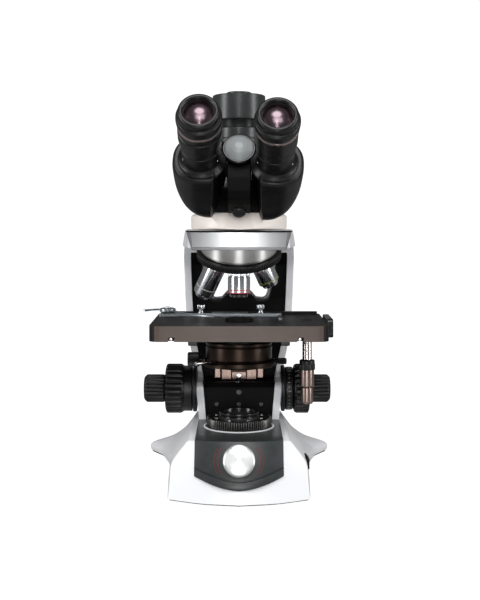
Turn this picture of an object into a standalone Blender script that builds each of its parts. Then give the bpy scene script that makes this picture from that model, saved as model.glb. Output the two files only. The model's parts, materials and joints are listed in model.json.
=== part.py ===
"""Upright trinocular microscope, modelled as an assembly of separate pieces.

Sizes are in millimetres and are turned into metres where a mesh is made.
X is to the viewer's right, -Y is towards the viewer and +Z is up, with the
table at Z = 0. Pieces are placed about the optical axis, and the assembly is
then shifted so that the middle of its footprint is the origin.
"""

import math

import bmesh
import bpy
from mathutils import Matrix, Vector

MM = 0.001
GAP = 0.3

# Where the optical axis stands in the footprint
AXIS_X = 0.0
AXIS_Y = -0.45

# Base
FOOT_HEIGHT = 2.5
FOOT_RADIUS = 9.0
BASE_TOP = 57.5
WALL = 3.0
DECK_TOP = 59.0
PANEL_TILT = 22.0
PANEL_GAP = 0.3
PANEL_SKIN = 1.2
DIAL_RADIUS = 15.5
DIAL_HEIGHT = 42.0
DIAL_FRONT = -88.2

# Illuminator on the base
RING_RADIUS = 33.8
RING_TOP = 69.6
PORT_RADIUS = 20.5
PORT_TOP = 79.0

# Arm
ARM_TOP = 264.3
ARM_UNDERSIDE = 246.5
ARM_WALL = 7.5
HANDLE_HALF_WIDTH = 39.0
HANDLE_LOW = 184.0
HANDLE_HIGH = 226.0
FASCIA_FRONT = -45.0

# Nosepiece: the turret axis leans back from the optical axis
APEX_Z = 278.0
TURRET_TILT = 23.2
HOUSING_RADIUS = 41.0
TURRET_RADIUS = 45.0
TURRET_START = 38.0
TURRET_END = 45.0
SHOULDER = 57.0
OBJECTIVE_COUNT = 4

# Focus drive
FOCUS_Y = 55.0
FOCUS_Z = 89.8
COARSE_RADIUS = 26.8
FINE_RADIUS = 15.2

# Stage
STAGE_TOP = 170.5
STAGE_SEAM = 160.4
STAGE_BOTTOM = 155.0
STAGE_HALF_WIDTH = 89.0
STAGE_FRONT = -70.0
SKIRT = 5.0
STAGE_REAR = 73.0
DRIVE_X = 71.0
DRIVE_Y = -5.0

# Condenser
CONDENSER_RADIUS = 34.5
MOUNT_RADIUS = 40.0
MOUNT_LOW = 123.0
MOUNT_HIGH = 134.0
CONDENSER_TOP = 150.0

# Head: the eye tubes are parallel to the hinge, which leans by EYE_TILT
EYE_TILT = 30.0
HINGE_Y = -75.0
HINGE_Z = 346.5
TUBE_OFFSET = 39.3
TUBE_DROOP = 24.0
HEAD_ROLL = 3.0
TUBE_RADIUS = 18.7
BARREL_RADIUS = 8.5
LUG_RADIUS = 12.4
LUGS = {"left": (-49.0, -8.0), "right": (-62.0, -49.4)}
INNER_FACE = 12.8
FOLD = 14.0
SWING = 12
SWING_GAP = 0.9
EYEPIECE_RADIUS = 21.6
HEAD_BASE_RADIUS = 50.0
HEAD_BASE_TOP = 282.0
PHOTO_Y = 5.0
PHOTO_RADIUS = 27.7
PHOTO_TOP = 405.5

MATERIALS = {
    "white_plastic": ((0.86, 0.86, 0.87), 0.35, 0.0),
    "black_paint": ((0.02, 0.02, 0.022), 0.45, 0.0),
    "black_rubber": ((0.03, 0.03, 0.03), 0.8, 0.0),
    "satin_metal": ((0.72, 0.72, 0.73), 0.3, 1.0),
    "chrome": ((0.85, 0.85, 0.87), 0.12, 1.0),
    "glass": ((0.5, 0.3, 0.45), 0.05, 0.0),
    "stage_black": ((0.035, 0.03, 0.028), 0.35, 0.0),
    "board_green": ((0.02, 0.16, 0.06), 0.5, 0.0),
}


# ---------------------------------------------------------------- scene helpers

def clear_scene():
    for obj in list(bpy.data.objects):
        bpy.data.objects.remove(obj, do_unlink=True)
    for coll in list(bpy.data.collections):
        bpy.data.collections.remove(coll)


def make_collection(name):
    coll = bpy.data.collections.new(name)
    bpy.context.scene.collection.children.link(coll)
    return coll


def make_materials():
    for name, (colour, roughness, metallic) in MATERIALS.items():
        mat = bpy.data.materials.new(name)
        mat.use_nodes = True
        shader = mat.node_tree.nodes["Principled BSDF"]
        shader.inputs["Base Color"].default_value = (*colour, 1.0)
        shader.inputs["Roughness"].default_value = roughness
        shader.inputs["Metallic"].default_value = metallic


def pivot(name, at, tilt=0.0, parent=None, spin=0.0):
    """An empty at a joint or on an inclined axis; tilt is about X and spin about Z."""
    empty = bpy.data.objects.new(name, None)
    PARTS.objects.link(empty)
    empty.parent = parent or ROOT
    empty.location = Vector(at) * MM
    empty.rotation_euler = (math.radians(tilt), 0.0, math.radians(spin))
    return empty


def mesh_object(name, bm, material, parent=None, coll=None):
    """Turn a bmesh in millimetres into an object in metres."""
    bmesh.ops.scale(bm, vec=(MM, MM, MM), verts=bm.verts)
    bmesh.ops.recalc_face_normals(bm, faces=bm.faces)
    mesh = bpy.data.meshes.new(name)
    bm.to_mesh(mesh)
    bm.free()
    obj = bpy.data.objects.new(name, mesh)
    (coll or PARTS).objects.link(obj)
    if material:
        mesh.materials.append(bpy.data.materials[material])
    obj.parent = parent or ROOT
    return obj


def as_cutter(obj):
    """Move an object to the cutters, where it isn't part of the model."""
    PARTS.objects.unlink(obj)
    CUTTERS.objects.link(obj)
    obj.hide_render = True
    obj.display_type = "WIRE"
    return obj


def boolean(obj, other, operation="DIFFERENCE"):
    mod = obj.modifiers.new(other.name, "BOOLEAN")
    mod.operation = operation
    mod.solver = "EXACT"
    mod.object = as_cutter(other)
    return obj


def soften(obj, width):
    mod = obj.modifiers.new("Bevel", "BEVEL")
    mod.width = width * MM
    mod.segments = 2
    mod.limit_method = "ANGLE"
    mod.angle_limit = math.radians(40.0)
    return obj


# ---------------------------------------------------------------- shape helpers

def box(name, low, high, material=None, bevel=0.0, parent=None):
    size = [b - a for a, b in zip(low, high)]
    middle = [(a + b) / 2 for a, b in zip(low, high)]
    bm = bmesh.new()
    bmesh.ops.create_cube(bm, size=1.0)
    bmesh.ops.scale(bm, vec=size, verts=bm.verts)
    bmesh.ops.translate(bm, vec=middle, verts=bm.verts)
    obj = mesh_object(name, bm, material, parent)
    if bevel:
        soften(obj, bevel)
    return obj


AXIS_TURNS = {
    "X": Matrix.Rotation(math.radians(90.0), 4, "Y"),
    "Y": Matrix.Rotation(math.radians(-90.0), 4, "X"),
    "Z": Matrix.Identity(4),
}


def cylinder(name, radius, low, high, material=None, at=(0, 0, 0), axis="Z", top_radius=None,
             sides=32, parent=None):
    """A cylinder or cone from low to high along an axis through a point."""
    bm = bmesh.new()
    end_radius = radius if top_radius is None else top_radius
    bmesh.ops.create_cone(bm, cap_ends=True, segments=sides, radius1=radius, radius2=end_radius,
                          depth=high - low)
    bmesh.ops.translate(bm, vec=(0, 0, (low + high) / 2), verts=bm.verts)
    bmesh.ops.transform(bm, matrix=AXIS_TURNS[axis], verts=bm.verts)
    bmesh.ops.translate(bm, vec=at, verts=bm.verts)
    return mesh_object(name, bm, material, parent)


def turned(name, profile, material, at=(0, 0, 0), axis="Z", steps=32, parent=None, closed=False):
    """Turn a profile of (radius, height) points, given from the top down the outer side."""
    bm = bmesh.new()
    verts = [bm.verts.new((r, 0.0, h)) for r, h in profile]
    ends = list(zip(verts, verts[1:]))
    if closed:
        ends.append((verts[-1], verts[0]))
    for a, b in ends:
        bm.edges.new((a, b))
    obj = mesh_object(name, bm, material, parent)
    obj.matrix_local = Matrix.Translation(Vector(at) * MM) @ AXIS_TURNS[axis]
    screw = obj.modifiers.new("Screw", "SCREW")
    screw.axis = "Z"
    screw.steps = steps
    screw.render_steps = steps
    screw.use_merge_vertices = True
    screw.merge_threshold = 0.00001
    return obj


def ring(name, outer, inner, low, high, material=None, at=(0, 0, 0), axis="Z", steps=36, parent=None):
    profile = [(inner, high), (outer, high), (outer, low), (inner, low)]
    return turned(name, profile, material, at, axis, steps, parent, closed=True)


def prism(name, outline, low, high, material=None, axis="Z", parent=None):
    """A flat outline, extruded along an axis; outlines are (Y, Z), (X, Z) or (X, Y) points."""
    curve = bpy.data.curves.new(name, "CURVE")
    curve.dimensions = "2D"
    curve.fill_mode = "BOTH"
    curve.extrude = (high - low) / 2 * MM
    spline = curve.splines.new("POLY")
    spline.points.add(len(outline) - 1)
    for point, (u, v) in zip(spline.points, outline):
        point.co = (u * MM, v * MM, 0.0, 1.0)
    spline.use_cyclic_u = True
    flat = bpy.data.objects.new(name + "_outline", curve)
    PARTS.objects.link(flat)
    graph = bpy.context.evaluated_depsgraph_get()
    mesh = bpy.data.meshes.new_from_object(flat.evaluated_get(graph))
    bpy.data.objects.remove(flat, do_unlink=True)
    bm = bmesh.new()
    bm.from_mesh(mesh)
    bpy.data.meshes.remove(mesh)
    bmesh.ops.remove_doubles(bm, verts=bm.verts, dist=0.00001)
    bmesh.ops.scale(bm, vec=(1 / MM,) * 3, verts=bm.verts)
    bmesh.ops.translate(bm, vec=(0, 0, (low + high) / 2), verts=bm.verts)
    for vert in bm.verts:
        u, v, w = vert.co
        vert.co = {"X": (w, u, v), "Y": (u, w, v), "Z": (u, v, w)}[axis]
    return mesh_object(name, bm, material, parent)


def loft(name, sections, material=None, parent=None):
    """Join rings of points with the same count into one closed solid."""
    bm = bmesh.new()
    rings = [[bm.verts.new(p) for p in section] for section in sections]
    for lower, upper in zip(rings, rings[1:]):
        for i in range(len(lower)):
            j = (i + 1) % len(lower)
            bm.faces.new((lower[i], lower[j], upper[j], upper[i]))
    bm.faces.new(rings[0])
    bm.faces.new(rings[-1])
    bmesh.ops.triangulate(bm, faces=bm.faces)
    return mesh_object(name, bm, material, parent)


def rounded(points, radii, arc=4):
    """Round the corners of a closed outline, each with its own radius."""
    result = []
    count = len(points)
    for i, (point, radius) in enumerate(zip(points, radii)):
        here = Vector(point)
        before = Vector(points[i - 1]) - here
        after = Vector(points[(i + 1) % count]) - here
        if radius <= 0:
            result.append(tuple(here))
            continue
        reach = radius / math.tan(before.angle(after) / 2)
        reach = min(reach, before.length * 0.48, after.length * 0.48)
        start = here + before.normalized() * reach
        end = here + after.normalized() * reach
        for k in range(arc + 1):
            t = k / arc
            result.append(tuple(start * (1 - t) ** 2 + here * 2 * t * (1 - t) + end * t ** 2))
    return result


def mirrored(half):
    """Close a half outline, given from front to back, with its mirror image across X = 0."""
    return half + [(-x, y) for x, y in reversed(half) if abs(x) > 0.01]


def smooth_curve(points, pieces=3):
    """Points along a Catmull-Rom curve through the given points."""
    padded = [points[0]] + list(points) + [points[-1]]
    result = []
    for a, b, c, d in zip(padded, padded[1:], padded[2:], padded[3:]):
        a, b, c, d = (Vector(p) for p in (a, b, c, d))
        for k in range(pieces):
            t = k / pieces
            result.append(tuple(0.5 * (2 * b + (c - a) * t + (2 * a - 5 * b + 4 * c - d) * t ** 2
                                       + (3 * b - a - 3 * c + d) * t ** 3)))
    result.append(tuple(points[-1]))
    return result


def knurled(radius, depth, teeth):
    """A ribbed round outline, with one rib and one groove for each tooth."""
    outline = []
    for i in range(teeth * 2):
        angle = math.pi * i / teeth
        r = radius if i % 2 else radius - depth
        outline.append((r * math.cos(angle), r * math.sin(angle)))
    return outline


# ------------------------------------------------------------------------- base

# Half plan outlines of the base, front to back, at rising heights
BASE_PLAN = {
    0.0: [(0, -99), (36, -93), (70, -76), (74, 0), (77, 70), (88, 118), (105, 148), (102, 160), (0, 163)],
    10.0: [(0, -97), (36, -91), (69, -75), (73, 0), (76, 70), (87, 118), (104, 147), (101, 159), (0, 162)],
    21.0: [(0, -94), (35, -88), (68, -73), (71, 0), (70, 66), (75, 112), (79, 136), (75, 148), (0, 150)],
    37.0: [(0, -88), (33, -83), (66, -70), (67, 0), (63, 60), (62, 100), (60, 118), (57, 128), (0, 130)],
    BASE_TOP: [(0, -77), (26, -74), (51, -66), (51, 0), (50, 50), (49, 80), (48, 95), (44, 104), (0, 106)],
}


def base_outline(half, grow):
    """A plan outline of the base, grown or shrunk by a distance."""
    corners = [(x + grow if x else 0.0, y + math.copysign(1.0, y) * grow) for x, y in half]
    return mirrored(smooth_curve(corners, pieces=2))


def base_solid(name, grow=0.0, low=FOOT_HEIGHT, material=None):
    """The outer form of the base, grown or shrunk by a distance."""
    sections = []
    for height, half in BASE_PLAN.items():
        z = low if height == 0.0 else height + grow
        sections.append([(x, y, z) for x, y in base_outline(half, grow)])
    return loft(name, sections, material)


def make_base():
    shell = base_solid("base_shell", material="white_plastic")
    boolean(shell, base_solid("base_hollow", grow=-WALL, low=-5.0))
    boolean(shell, cylinder("lamp_hole", PORT_RADIUS + 2.0, 50.0, 70.0))
    dial_hole = cylinder("dial_hole", 10.0, -20.0, 20.0, axis="Y", at=(0, DIAL_FRONT, DIAL_HEIGHT))
    boolean(shell, dial_hole)
    boolean(shell, box("rocker_hole", (60.0, -48.3, 23.7), (90.0, -27.7, 36.3)))
    boolean(shell, box("socket_hole", (-14.3, 100.0, 15.7), (14.3, 170.0, 38.3)))

    prism("base_plate", base_outline(BASE_PLAN[10.0], -WALL - 1.0), FOOT_HEIGHT, FOOT_HEIGHT + 2.0,
          "black_paint")
    for number, (x, y) in enumerate(((-52, -68), (52, -68), (-82, 132), (82, 132)), start=1):
        cylinder(f"foot_{number}", FOOT_RADIUS, 0.0, FOOT_HEIGHT - GAP, "black_rubber", at=(x, y, 0),
                 sides=20)


def make_front_panel():
    """A black skin that follows the front of the base, and the flat deck behind it."""
    panel = base_solid("front_panel", grow=PANEL_GAP + PANEL_SKIN, low=0.0, material="black_paint")
    outline = [(-43.5, 27.0), (-22.0, 18.5), (0.0, 15.5), (22.0, 18.5), (43.5, 27.0), (43.5, 54.0),
               (40.0, 57.0), (-40.0, 57.0), (-43.5, 54.0)]
    boolean(panel, prism("panel_outline", rounded(outline, [4, 0, 0, 0, 4, 2, 2, 2, 2]), -120, -50,
                         axis="Y"), "INTERSECT")
    boolean(panel, base_solid("panel_back", grow=PANEL_GAP, low=-5.0))
    boolean(panel, cylinder("panel_dial_hole", 6.5, -20.0, 20.0, axis="Y",
                            at=(0, DIAL_FRONT, DIAL_HEIGHT)))

    deck = [(-43.0, -73.0), (43.0, -73.0), (42.0, 35.0), (-42.0, 35.0)]
    top = prism("deck_plate", rounded(deck, [10, 10, 3, 3]), BASE_TOP + GAP, DECK_TOP, "black_paint")
    boolean(top, cylinder("deck_hole", PORT_RADIUS + 2.0, 50.0, 70.0))


def make_base_controls():
    dial_frame = pivot("dial_frame", (0, DIAL_FRONT, DIAL_HEIGHT), tilt=90.0 - PANEL_TILT)
    profile = [(0, 8.5), (13.0, 8.5), (DIAL_RADIUS, 7.0), (DIAL_RADIUS, 0.6), (5.5, 0.6), (5.5, -14.0),
               (0, -14.0)]
    turned("brightness_dial", profile, "satin_metal", parent=dial_frame, steps=32)

    rocker = pivot("rocker_pivot", (69.0, -38.0, 30.0))
    rocker_outline = [(-9.7, -5.7), (-9.7, 5.7), (9.7, 5.7), (9.7, -5.7)]
    key = prism("power_rocker", rounded(rocker_outline, [1] * 4), -6.0, 2.2, "black_paint", axis="X",
                parent=rocker)
    soften(key, 0.5)
    socket = box("power_socket", (-14.0, 108.0, 16.0), (14.0, 142.0, 38.0), "black_paint", bevel=1.0)
    boolean(socket, box("socket_mouth", (-12.0, 124.0, 18.5), (12.0, 160.0, 35.5)))


def make_illuminator():
    ring("lamp_house", PORT_RADIUS, PORT_RADIUS - 3.0, 40.0, PORT_TOP, "black_paint")
    radius = PORT_RADIUS - 3.3
    turned("field_lens", [(0, 77.5), (9.0, 76.8), (radius, 74.0), (radius, 71.0), (0, 71.0)], "glass")
    ring_outline = knurled(RING_RADIUS, 0.9, 48)
    field_ring = prism("field_ring", ring_outline, DECK_TOP + GAP, RING_TOP, "black_paint",
                       parent=pivot("field_ring_axis", (0, 0, 0)))
    boolean(field_ring, cylinder("field_ring_bore", PORT_RADIUS + GAP, 50.0, 80.0, sides=40))
    turned("led_module", [(0, 38.0), (4.0, 38.0), (4.0, 33.0), (15.0, 33.0), (15.0, 12.0), (0, 12.0)],
           "satin_metal", steps=20)
    box("circuit_board", (-35.0, 40.0, 12.0), (35.0, 105.0, 13.6), "board_green")


# -------------------------------------------------------------------------- arm

ARM_FOOT = BASE_TOP + GAP
ARM_SIDE = [
    (36.0, ARM_FOOT), (36.0, 95.0), (42.0, 99.0), (68.0, 99.5), (84.0, 116.0), (96.0, 150.0),
    (97.0, 185.0), (93.0, 222.0), (72.0, ARM_UNDERSIDE), (FASCIA_FRONT + 1.5, ARM_UNDERSIDE),
    (FASCIA_FRONT + 1.5, ARM_TOP), (82.0, ARM_TOP), (118.0, 246.0), (134.0, 212.0), (137.0, 165.0),
    (130.0, 115.0), (117.0, ARM_FOOT),
]
ARM_SIDE_RADII = [0, 6, 8, 10, 20, 30, 40, 25, 12, 0, 3, 30, 30, 40, 60, 60, 0]
POCKET_SIDE = [(20, 50), (20, 120), (50, 130), (50, 238), (108, 238), (128, 207), (131, 165),
               (124, 113), (113, 50)]
CORE_SIDE = [
    (38, ARM_FOOT), (38, 93), (43, 98), (80, 99), (80, 112), (98, 151), (100, 185), (95, 224), (82, 237.7),
    (107.8, 237.7), (127.7, 207), (130.7, 165), (123.7, 113), (112.7, ARM_FOOT),
]
ARM_FRONT = [(43.0, 55.0), (46.0, 92.0), (50.0, 112.0), (56.0, 136.0), (60.0, 170.0), (61.5, 205.0),
             (62.0, 232.0), (60.0, 250.0), (56.0, 266.0)]
ARM_PLAN = [(0.0, -48.0), (46.0, -47.0), (51.5, -40.0), (56.0, 0.0), (63.0, 50.0), (64.0, 110.0),
            (56.0, 134.0), (34.0, 142.0), (0.0, 144.0)]


def front_prism(name, inset=0.0):
    """The arm's outline from the front, extruded along the whole depth."""
    right = [(x - inset, z) for x, z in smooth_curve(ARM_FRONT, pieces=2)]
    outline = right + [(-x, z) for x, z in reversed(right)]
    return prism(name, outline, -60.0, 160.0, axis="Y")


def handle_cutter(name, grow=0.0):
    half = HANDLE_HALF_WIDTH + grow
    low = HANDLE_LOW - grow
    high = HANDLE_HIGH + grow
    outline = [(-half + 8, low), (-20, low + 1), (-14, low + 8), (14, low + 8), (20, low + 1),
               (half - 8, low), (half, high - 12), (half, high), (-half, high), (-half, high - 12)]
    return prism(name, rounded(outline, [8, 0, 3, 3, 0, 8, 0, 12, 12, 0]), 60.0, 160.0, axis="Y")


def make_arm():
    shell = prism("arm_shell", rounded(ARM_SIDE, ARM_SIDE_RADII), -70.0, 70.0, "white_plastic", axis="X")
    boolean(shell, front_prism("shell_front"), "INTERSECT")
    plan = mirrored(smooth_curve(ARM_PLAN, pieces=2))
    boolean(shell, prism("shell_plan", plan, 50.0, 280.0), "INTERSECT")
    pocket = prism("pocket", POCKET_SIDE, -70.0, 70.0, axis="X")
    boolean(pocket, front_prism("pocket_front", ARM_WALL), "INTERSECT")
    boolean(shell, pocket)
    boolean(shell, handle_cutter("shell_handle"))
    turret = pivot("turret_clearance", (0, 0, APEX_Z), tilt=TURRET_TILT)
    boolean(shell, cylinder("turret_recess", TURRET_RADIUS + 1.2, -66.0, 0.7 - TURRET_START, sides=40,
                            parent=turret))
    shaft_at = (0, FOCUS_Y, FOCUS_Z)
    boolean(shell, cylinder("shell_bore", 9.0, -80.0, 80.0, at=shaft_at, axis="X"))

    core = prism("arm_core", CORE_SIDE, -70.0, 70.0, "black_paint", axis="X")
    boolean(core, front_prism("core_front", ARM_WALL + GAP), "INTERSECT")
    boolean(core, handle_cutter("core_handle", 3.0))
    boolean(core, cylinder("core_bore", 9.0, -80.0, 80.0, at=shaft_at, axis="X"))
    boolean(core, box("lift_well", (-20.0, 62.7, 55.0), (20.0, 81.0, 110.0)))

    band = [(-48.4, ARM_UNDERSIDE - 0.8), (48.4, ARM_UNDERSIDE - 0.8), (48.4, 262.6), (-48.4, 262.6)]
    fascia = prism("fascia_band", rounded(band, [5] * 4), FASCIA_FRONT - 3.5, FASCIA_FRONT + 1.2,
                   "satin_metal", axis="Y")
    soften(fascia, 1.2)


# -------------------------------------------------------------------- nosepiece

OBJECTIVES = (
    ("objective_4x", 0.0, 27.0, 11.8, 9.0),
    ("objective_10x", 90.0, 29.0, 11.5, 7.5),
    ("objective_40x", 180.0, 43.0, 11.8, 6.0),
    ("objective_100x", 270.0, 44.0, 11.8, 6.0),
)


def make_nosepiece():
    fixed = pivot("nosepiece_frame", (0, 0, APEX_Z), tilt=TURRET_TILT)
    housing = cylinder("nosepiece_housing", HOUSING_RADIUS, GAP - TURRET_START, -2.0, "satin_metal",
                       parent=fixed, sides=48)
    above_arm = box("above_arm", (-80, -80, ARM_UNDERSIDE - GAP), (80, 80, 320))
    boolean(housing, above_arm)
    boolean(housing, cylinder("light_path", 9.0, 200.0, 260.0))

    turret = pivot("turret_axis", (0, 0, APEX_Z), tilt=TURRET_TILT)
    profile = [(0, -TURRET_START), (TURRET_RADIUS - 1, -TURRET_START), (TURRET_RADIUS, -TURRET_START - 1),
               (TURRET_RADIUS, -TURRET_END), (TURRET_RADIUS - 4, -TURRET_END - 1), (33.0, -TURRET_END - 6.0),
               (10.0, -TURRET_END - 9.5), (0, -TURRET_END - 9.5)]
    body = turned("turret_ring", profile, "black_paint", parent=turret, steps=36)
    for index in range(OBJECTIVE_COUNT):
        seat = pivot(f"seat_{index}", (0, 0, 0), parent=turret, spin=index * 360.0 / OBJECTIVE_COUNT)
        lean = pivot(f"seat_lean_{index}", (0, 0, 0), parent=seat, tilt=-TURRET_TILT)
        boolean(body, cylinder(f"seat_bore_{index}", 10.3, -70.0, -30.0, parent=lean, sides=24))
        boolean(body, cylinder(f"seat_face_{index}", 12.6, -75.0, -SHOULDER, parent=lean, sides=24))
    for name, station, length, radius, tip in OBJECTIVES:
        seat = pivot(name + "_seat", (0, 0, 0), parent=turret, spin=station)
        lean = pivot(name + "_axis", (0, 0, 0), parent=seat, tilt=-TURRET_TILT)
        end = -SHOULDER - length
        profile = [(0.0, -SHOULDER + 7.0), (10.0, -SHOULDER + 7.0), (10.0, -SHOULDER - GAP),
                   (radius, -SHOULDER - GAP), (radius, end + length * 0.35), (tip, end + 2.0),
                   (tip - 1.5, end), (tip - 4.0, end), (tip - 4.5, end + 1.5), (0.0, end + 1.5)]
        turned(name, profile, "chrome", parent=lean, steps=24)


# ------------------------------------------------------------------ focus drive

def knob(name, radius, low, high, parent, teeth, depth):
    """A ribbed knob along X."""
    return prism(name, knurled(radius, depth, teeth), low, high, "black_paint", axis="X", parent=parent)


def make_focus():
    axis_at = (0, FOCUS_Y, FOCUS_Z)
    coarse = pivot("coarse_axis", axis_at)
    fine = pivot("fine_axis", axis_at)
    ring("coarse_tube", 7.5, 4.6, -60.0, 62.0, "satin_metal", axis="X", parent=coarse)
    left = knob("left_coarse_knob", COARSE_RADIUS, -80.0, -60.5, coarse, 24, 1.4)
    boolean(left, cylinder("left_collar", 22.5, -60.9, -50.6, axis="X", parent=coarse), "UNION")
    boolean(left, cylinder("left_bore", 7.8, -90.0, -40.0, axis="X", parent=coarse))
    right = knob("right_coarse_knob", COARSE_RADIUS, 59.0, 77.0, coarse, 24, 1.4)
    boolean(right, cylinder("right_bore", 7.8, 50.0, 90.0, axis="X", parent=coarse))
    cylinder("fine_shaft", 4.0, -82.0, 79.0, "satin_metal", axis="X", sides=20, parent=fine)
    for side, low, high in (("left", -103.8, -80.6), ("right", 77.6, 99.8)):
        grip = knob(f"{side}_fine_knob", FINE_RADIUS, low, high, fine, 20, 0.9)
        inner = (-84.0, -80.0) if side == "left" else (77.0, 81.0)
        boolean(grip, cylinder(f"{side}_fine_bore", 4.3, *inner, axis="X", parent=fine))
    tension = pivot("tension_axis", axis_at)
    ring("tension_ring", 19.5, 9.3, 50.4, 58.6, "black_paint", axis="X", parent=tension, steps=40)


# ------------------------------------------------------------------------ stage

def make_stage():
    lift = box("lift_slide", (-19.5, 64.0, 84.0), (19.5, 76.0, 146.0), "black_paint", bevel=0.8)
    boolean(lift, box("mount_groove", (-8.3, 60.0, 92.0), (8.3, 68.3, 150.0)))
    carrier = box("stage_carrier", (-52.0, -30.0, 146.3), (52.0, 76.0, 154.7), "black_paint", bevel=1.0)
    boolean(carrier, box("carrier_gap", (-42.5, -50.0, 140.0), (42.5, 44.0, 160.0)))

    lower = prism("stage_lower", rounded([(-63, -44), (63, -44), (63, 60), (-63, 60)], [8] * 4),
                  STAGE_BOTTOM, STAGE_SEAM - GAP, "stage_black")
    boolean(lower, cylinder("lower_bore", 32.0, 140.0, 165.0))

    outline = [(-STAGE_HALF_WIDTH, STAGE_FRONT), (STAGE_HALF_WIDTH, STAGE_FRONT),
               (STAGE_HALF_WIDTH, STAGE_REAR), (-STAGE_HALF_WIDTH, STAGE_REAR)]
    upper = prism("stage_upper", rounded(outline, [10] * 4), STAGE_BOTTOM, STAGE_TOP, "stage_black")
    soften(upper, 1.0)
    boolean(upper, box("stage_cavity", (-84.0, STAGE_FRONT + SKIRT, 140.0), (84.0, 90.0, STAGE_SEAM)))
    slot = [(-14.5, -38.0), (14.5, -38.0), (14.5, 27.0), (-14.5, 27.0)]
    boolean(upper, prism("stage_opening", rounded(slot, [14] * 4), 150.0, 180.0))
    rail = box("rail", (-86.0, 58.0, 169.0), (86.0, 66.0, 173.5))
    boolean(upper, rail, "UNION")
    guard = box("guard", (86.0, -38.0, 155.5), (95.5, 22.0, 174.5))
    boolean(upper, guard, "UNION")
    boolean(upper, cylinder("drive_bore", 5.4, 150.0, 180.0, at=(DRIVE_X, DRIVE_Y, 0)))


def make_stage_drive():
    at = (DRIVE_X, DRIVE_Y, 0)
    y_drive = pivot("y_drive_axis", at)
    x_drive = pivot("x_drive_axis", at)
    profile = [(0, 168.0), (4.9, 168.0), (4.9, 129.0), (8.0, 128.4), (8.0, 121.6), (3.0, 121.3), (3.0, 101.3),
               (0, 101.3)]
    turned("drive_shaft", profile, "chrome", parent=y_drive)
    upper = prism("y_knob", knurled(7.4, 0.5, 20), 101.0, 121.0, "black_paint", parent=y_drive)
    boolean(upper, cylinder("y_knob_bore", 3.3, 90.0, 130.0, parent=y_drive))
    prism("x_knob", knurled(6.8, 0.5, 20), 83.5, 100.7, "black_paint", parent=x_drive)


def make_slide_holder():
    bar_z = STAGE_TOP + GAP
    holder = box("slide_holder", (-86.0, 30.0, bar_z), (46.0, 40.0, bar_z + 4.5), "satin_metal", bevel=0.6)
    boolean(holder, box("carriage", (-30.0, 38.0, bar_z + 0.2), (10.0, 57.5, bar_z + 4.0)), "UNION")
    boolean(holder, box("fixed_arm", (38.0, -12.0, bar_z), (46.0, 32.0, bar_z + 2.5)), "UNION")
    for side, x in (("left", -41.0), ("right", 23.5)):
        profile = [(0, 7.5), (3.9, 7.0), (3.9, 0.8), (2.2, 0.0), (0, 0)]
        turned(f"thumbscrew_{side}", profile, "satin_metal", at=(x, 35.0, bar_z + 4.5 + GAP), steps=20)
    finger_axis = pivot("finger_axis", (-77.0, 35.0, bar_z + 4.5 + GAP))
    disc = turned("slide_finger", [(0, 4.2), (8.0, 4.2), (8.6, 3.5), (8.6, 0), (0, 0)], "satin_metal",
                  parent=finger_axis, steps=32)
    arm = smooth_curve([(5, 2), (13, -24), (24, -44), (40, -60), (52, -66)], pieces=3)
    boolean(disc, strip("finger_arm", arm, 2.6, 0.4, 2.6, finger_axis), "UNION")
    lever = smooth_curve([(-4, 4), (-13, 2), (-20, -4), (-25, -12)], pieces=3)
    boolean(disc, strip("finger_lever", lever, 2.4, 1.2, 3.8, finger_axis), "UNION")


def strip(name, path, half_width, low, high, parent):
    """A flat strip of even width along a path in plan."""
    points = [Vector(p) for p in path]
    left = []
    right = []
    for i, point in enumerate(points):
        ahead = points[min(i + 1, len(points) - 1)] - points[max(i - 1, 0)]
        side = Vector((-ahead.y, ahead.x)).normalized() * half_width
        left.append(tuple(point + side))
        right.append(tuple(point - side))
    return prism(name, left + right[::-1], low, high, parent=parent)


# -------------------------------------------------------------------- condenser

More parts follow.
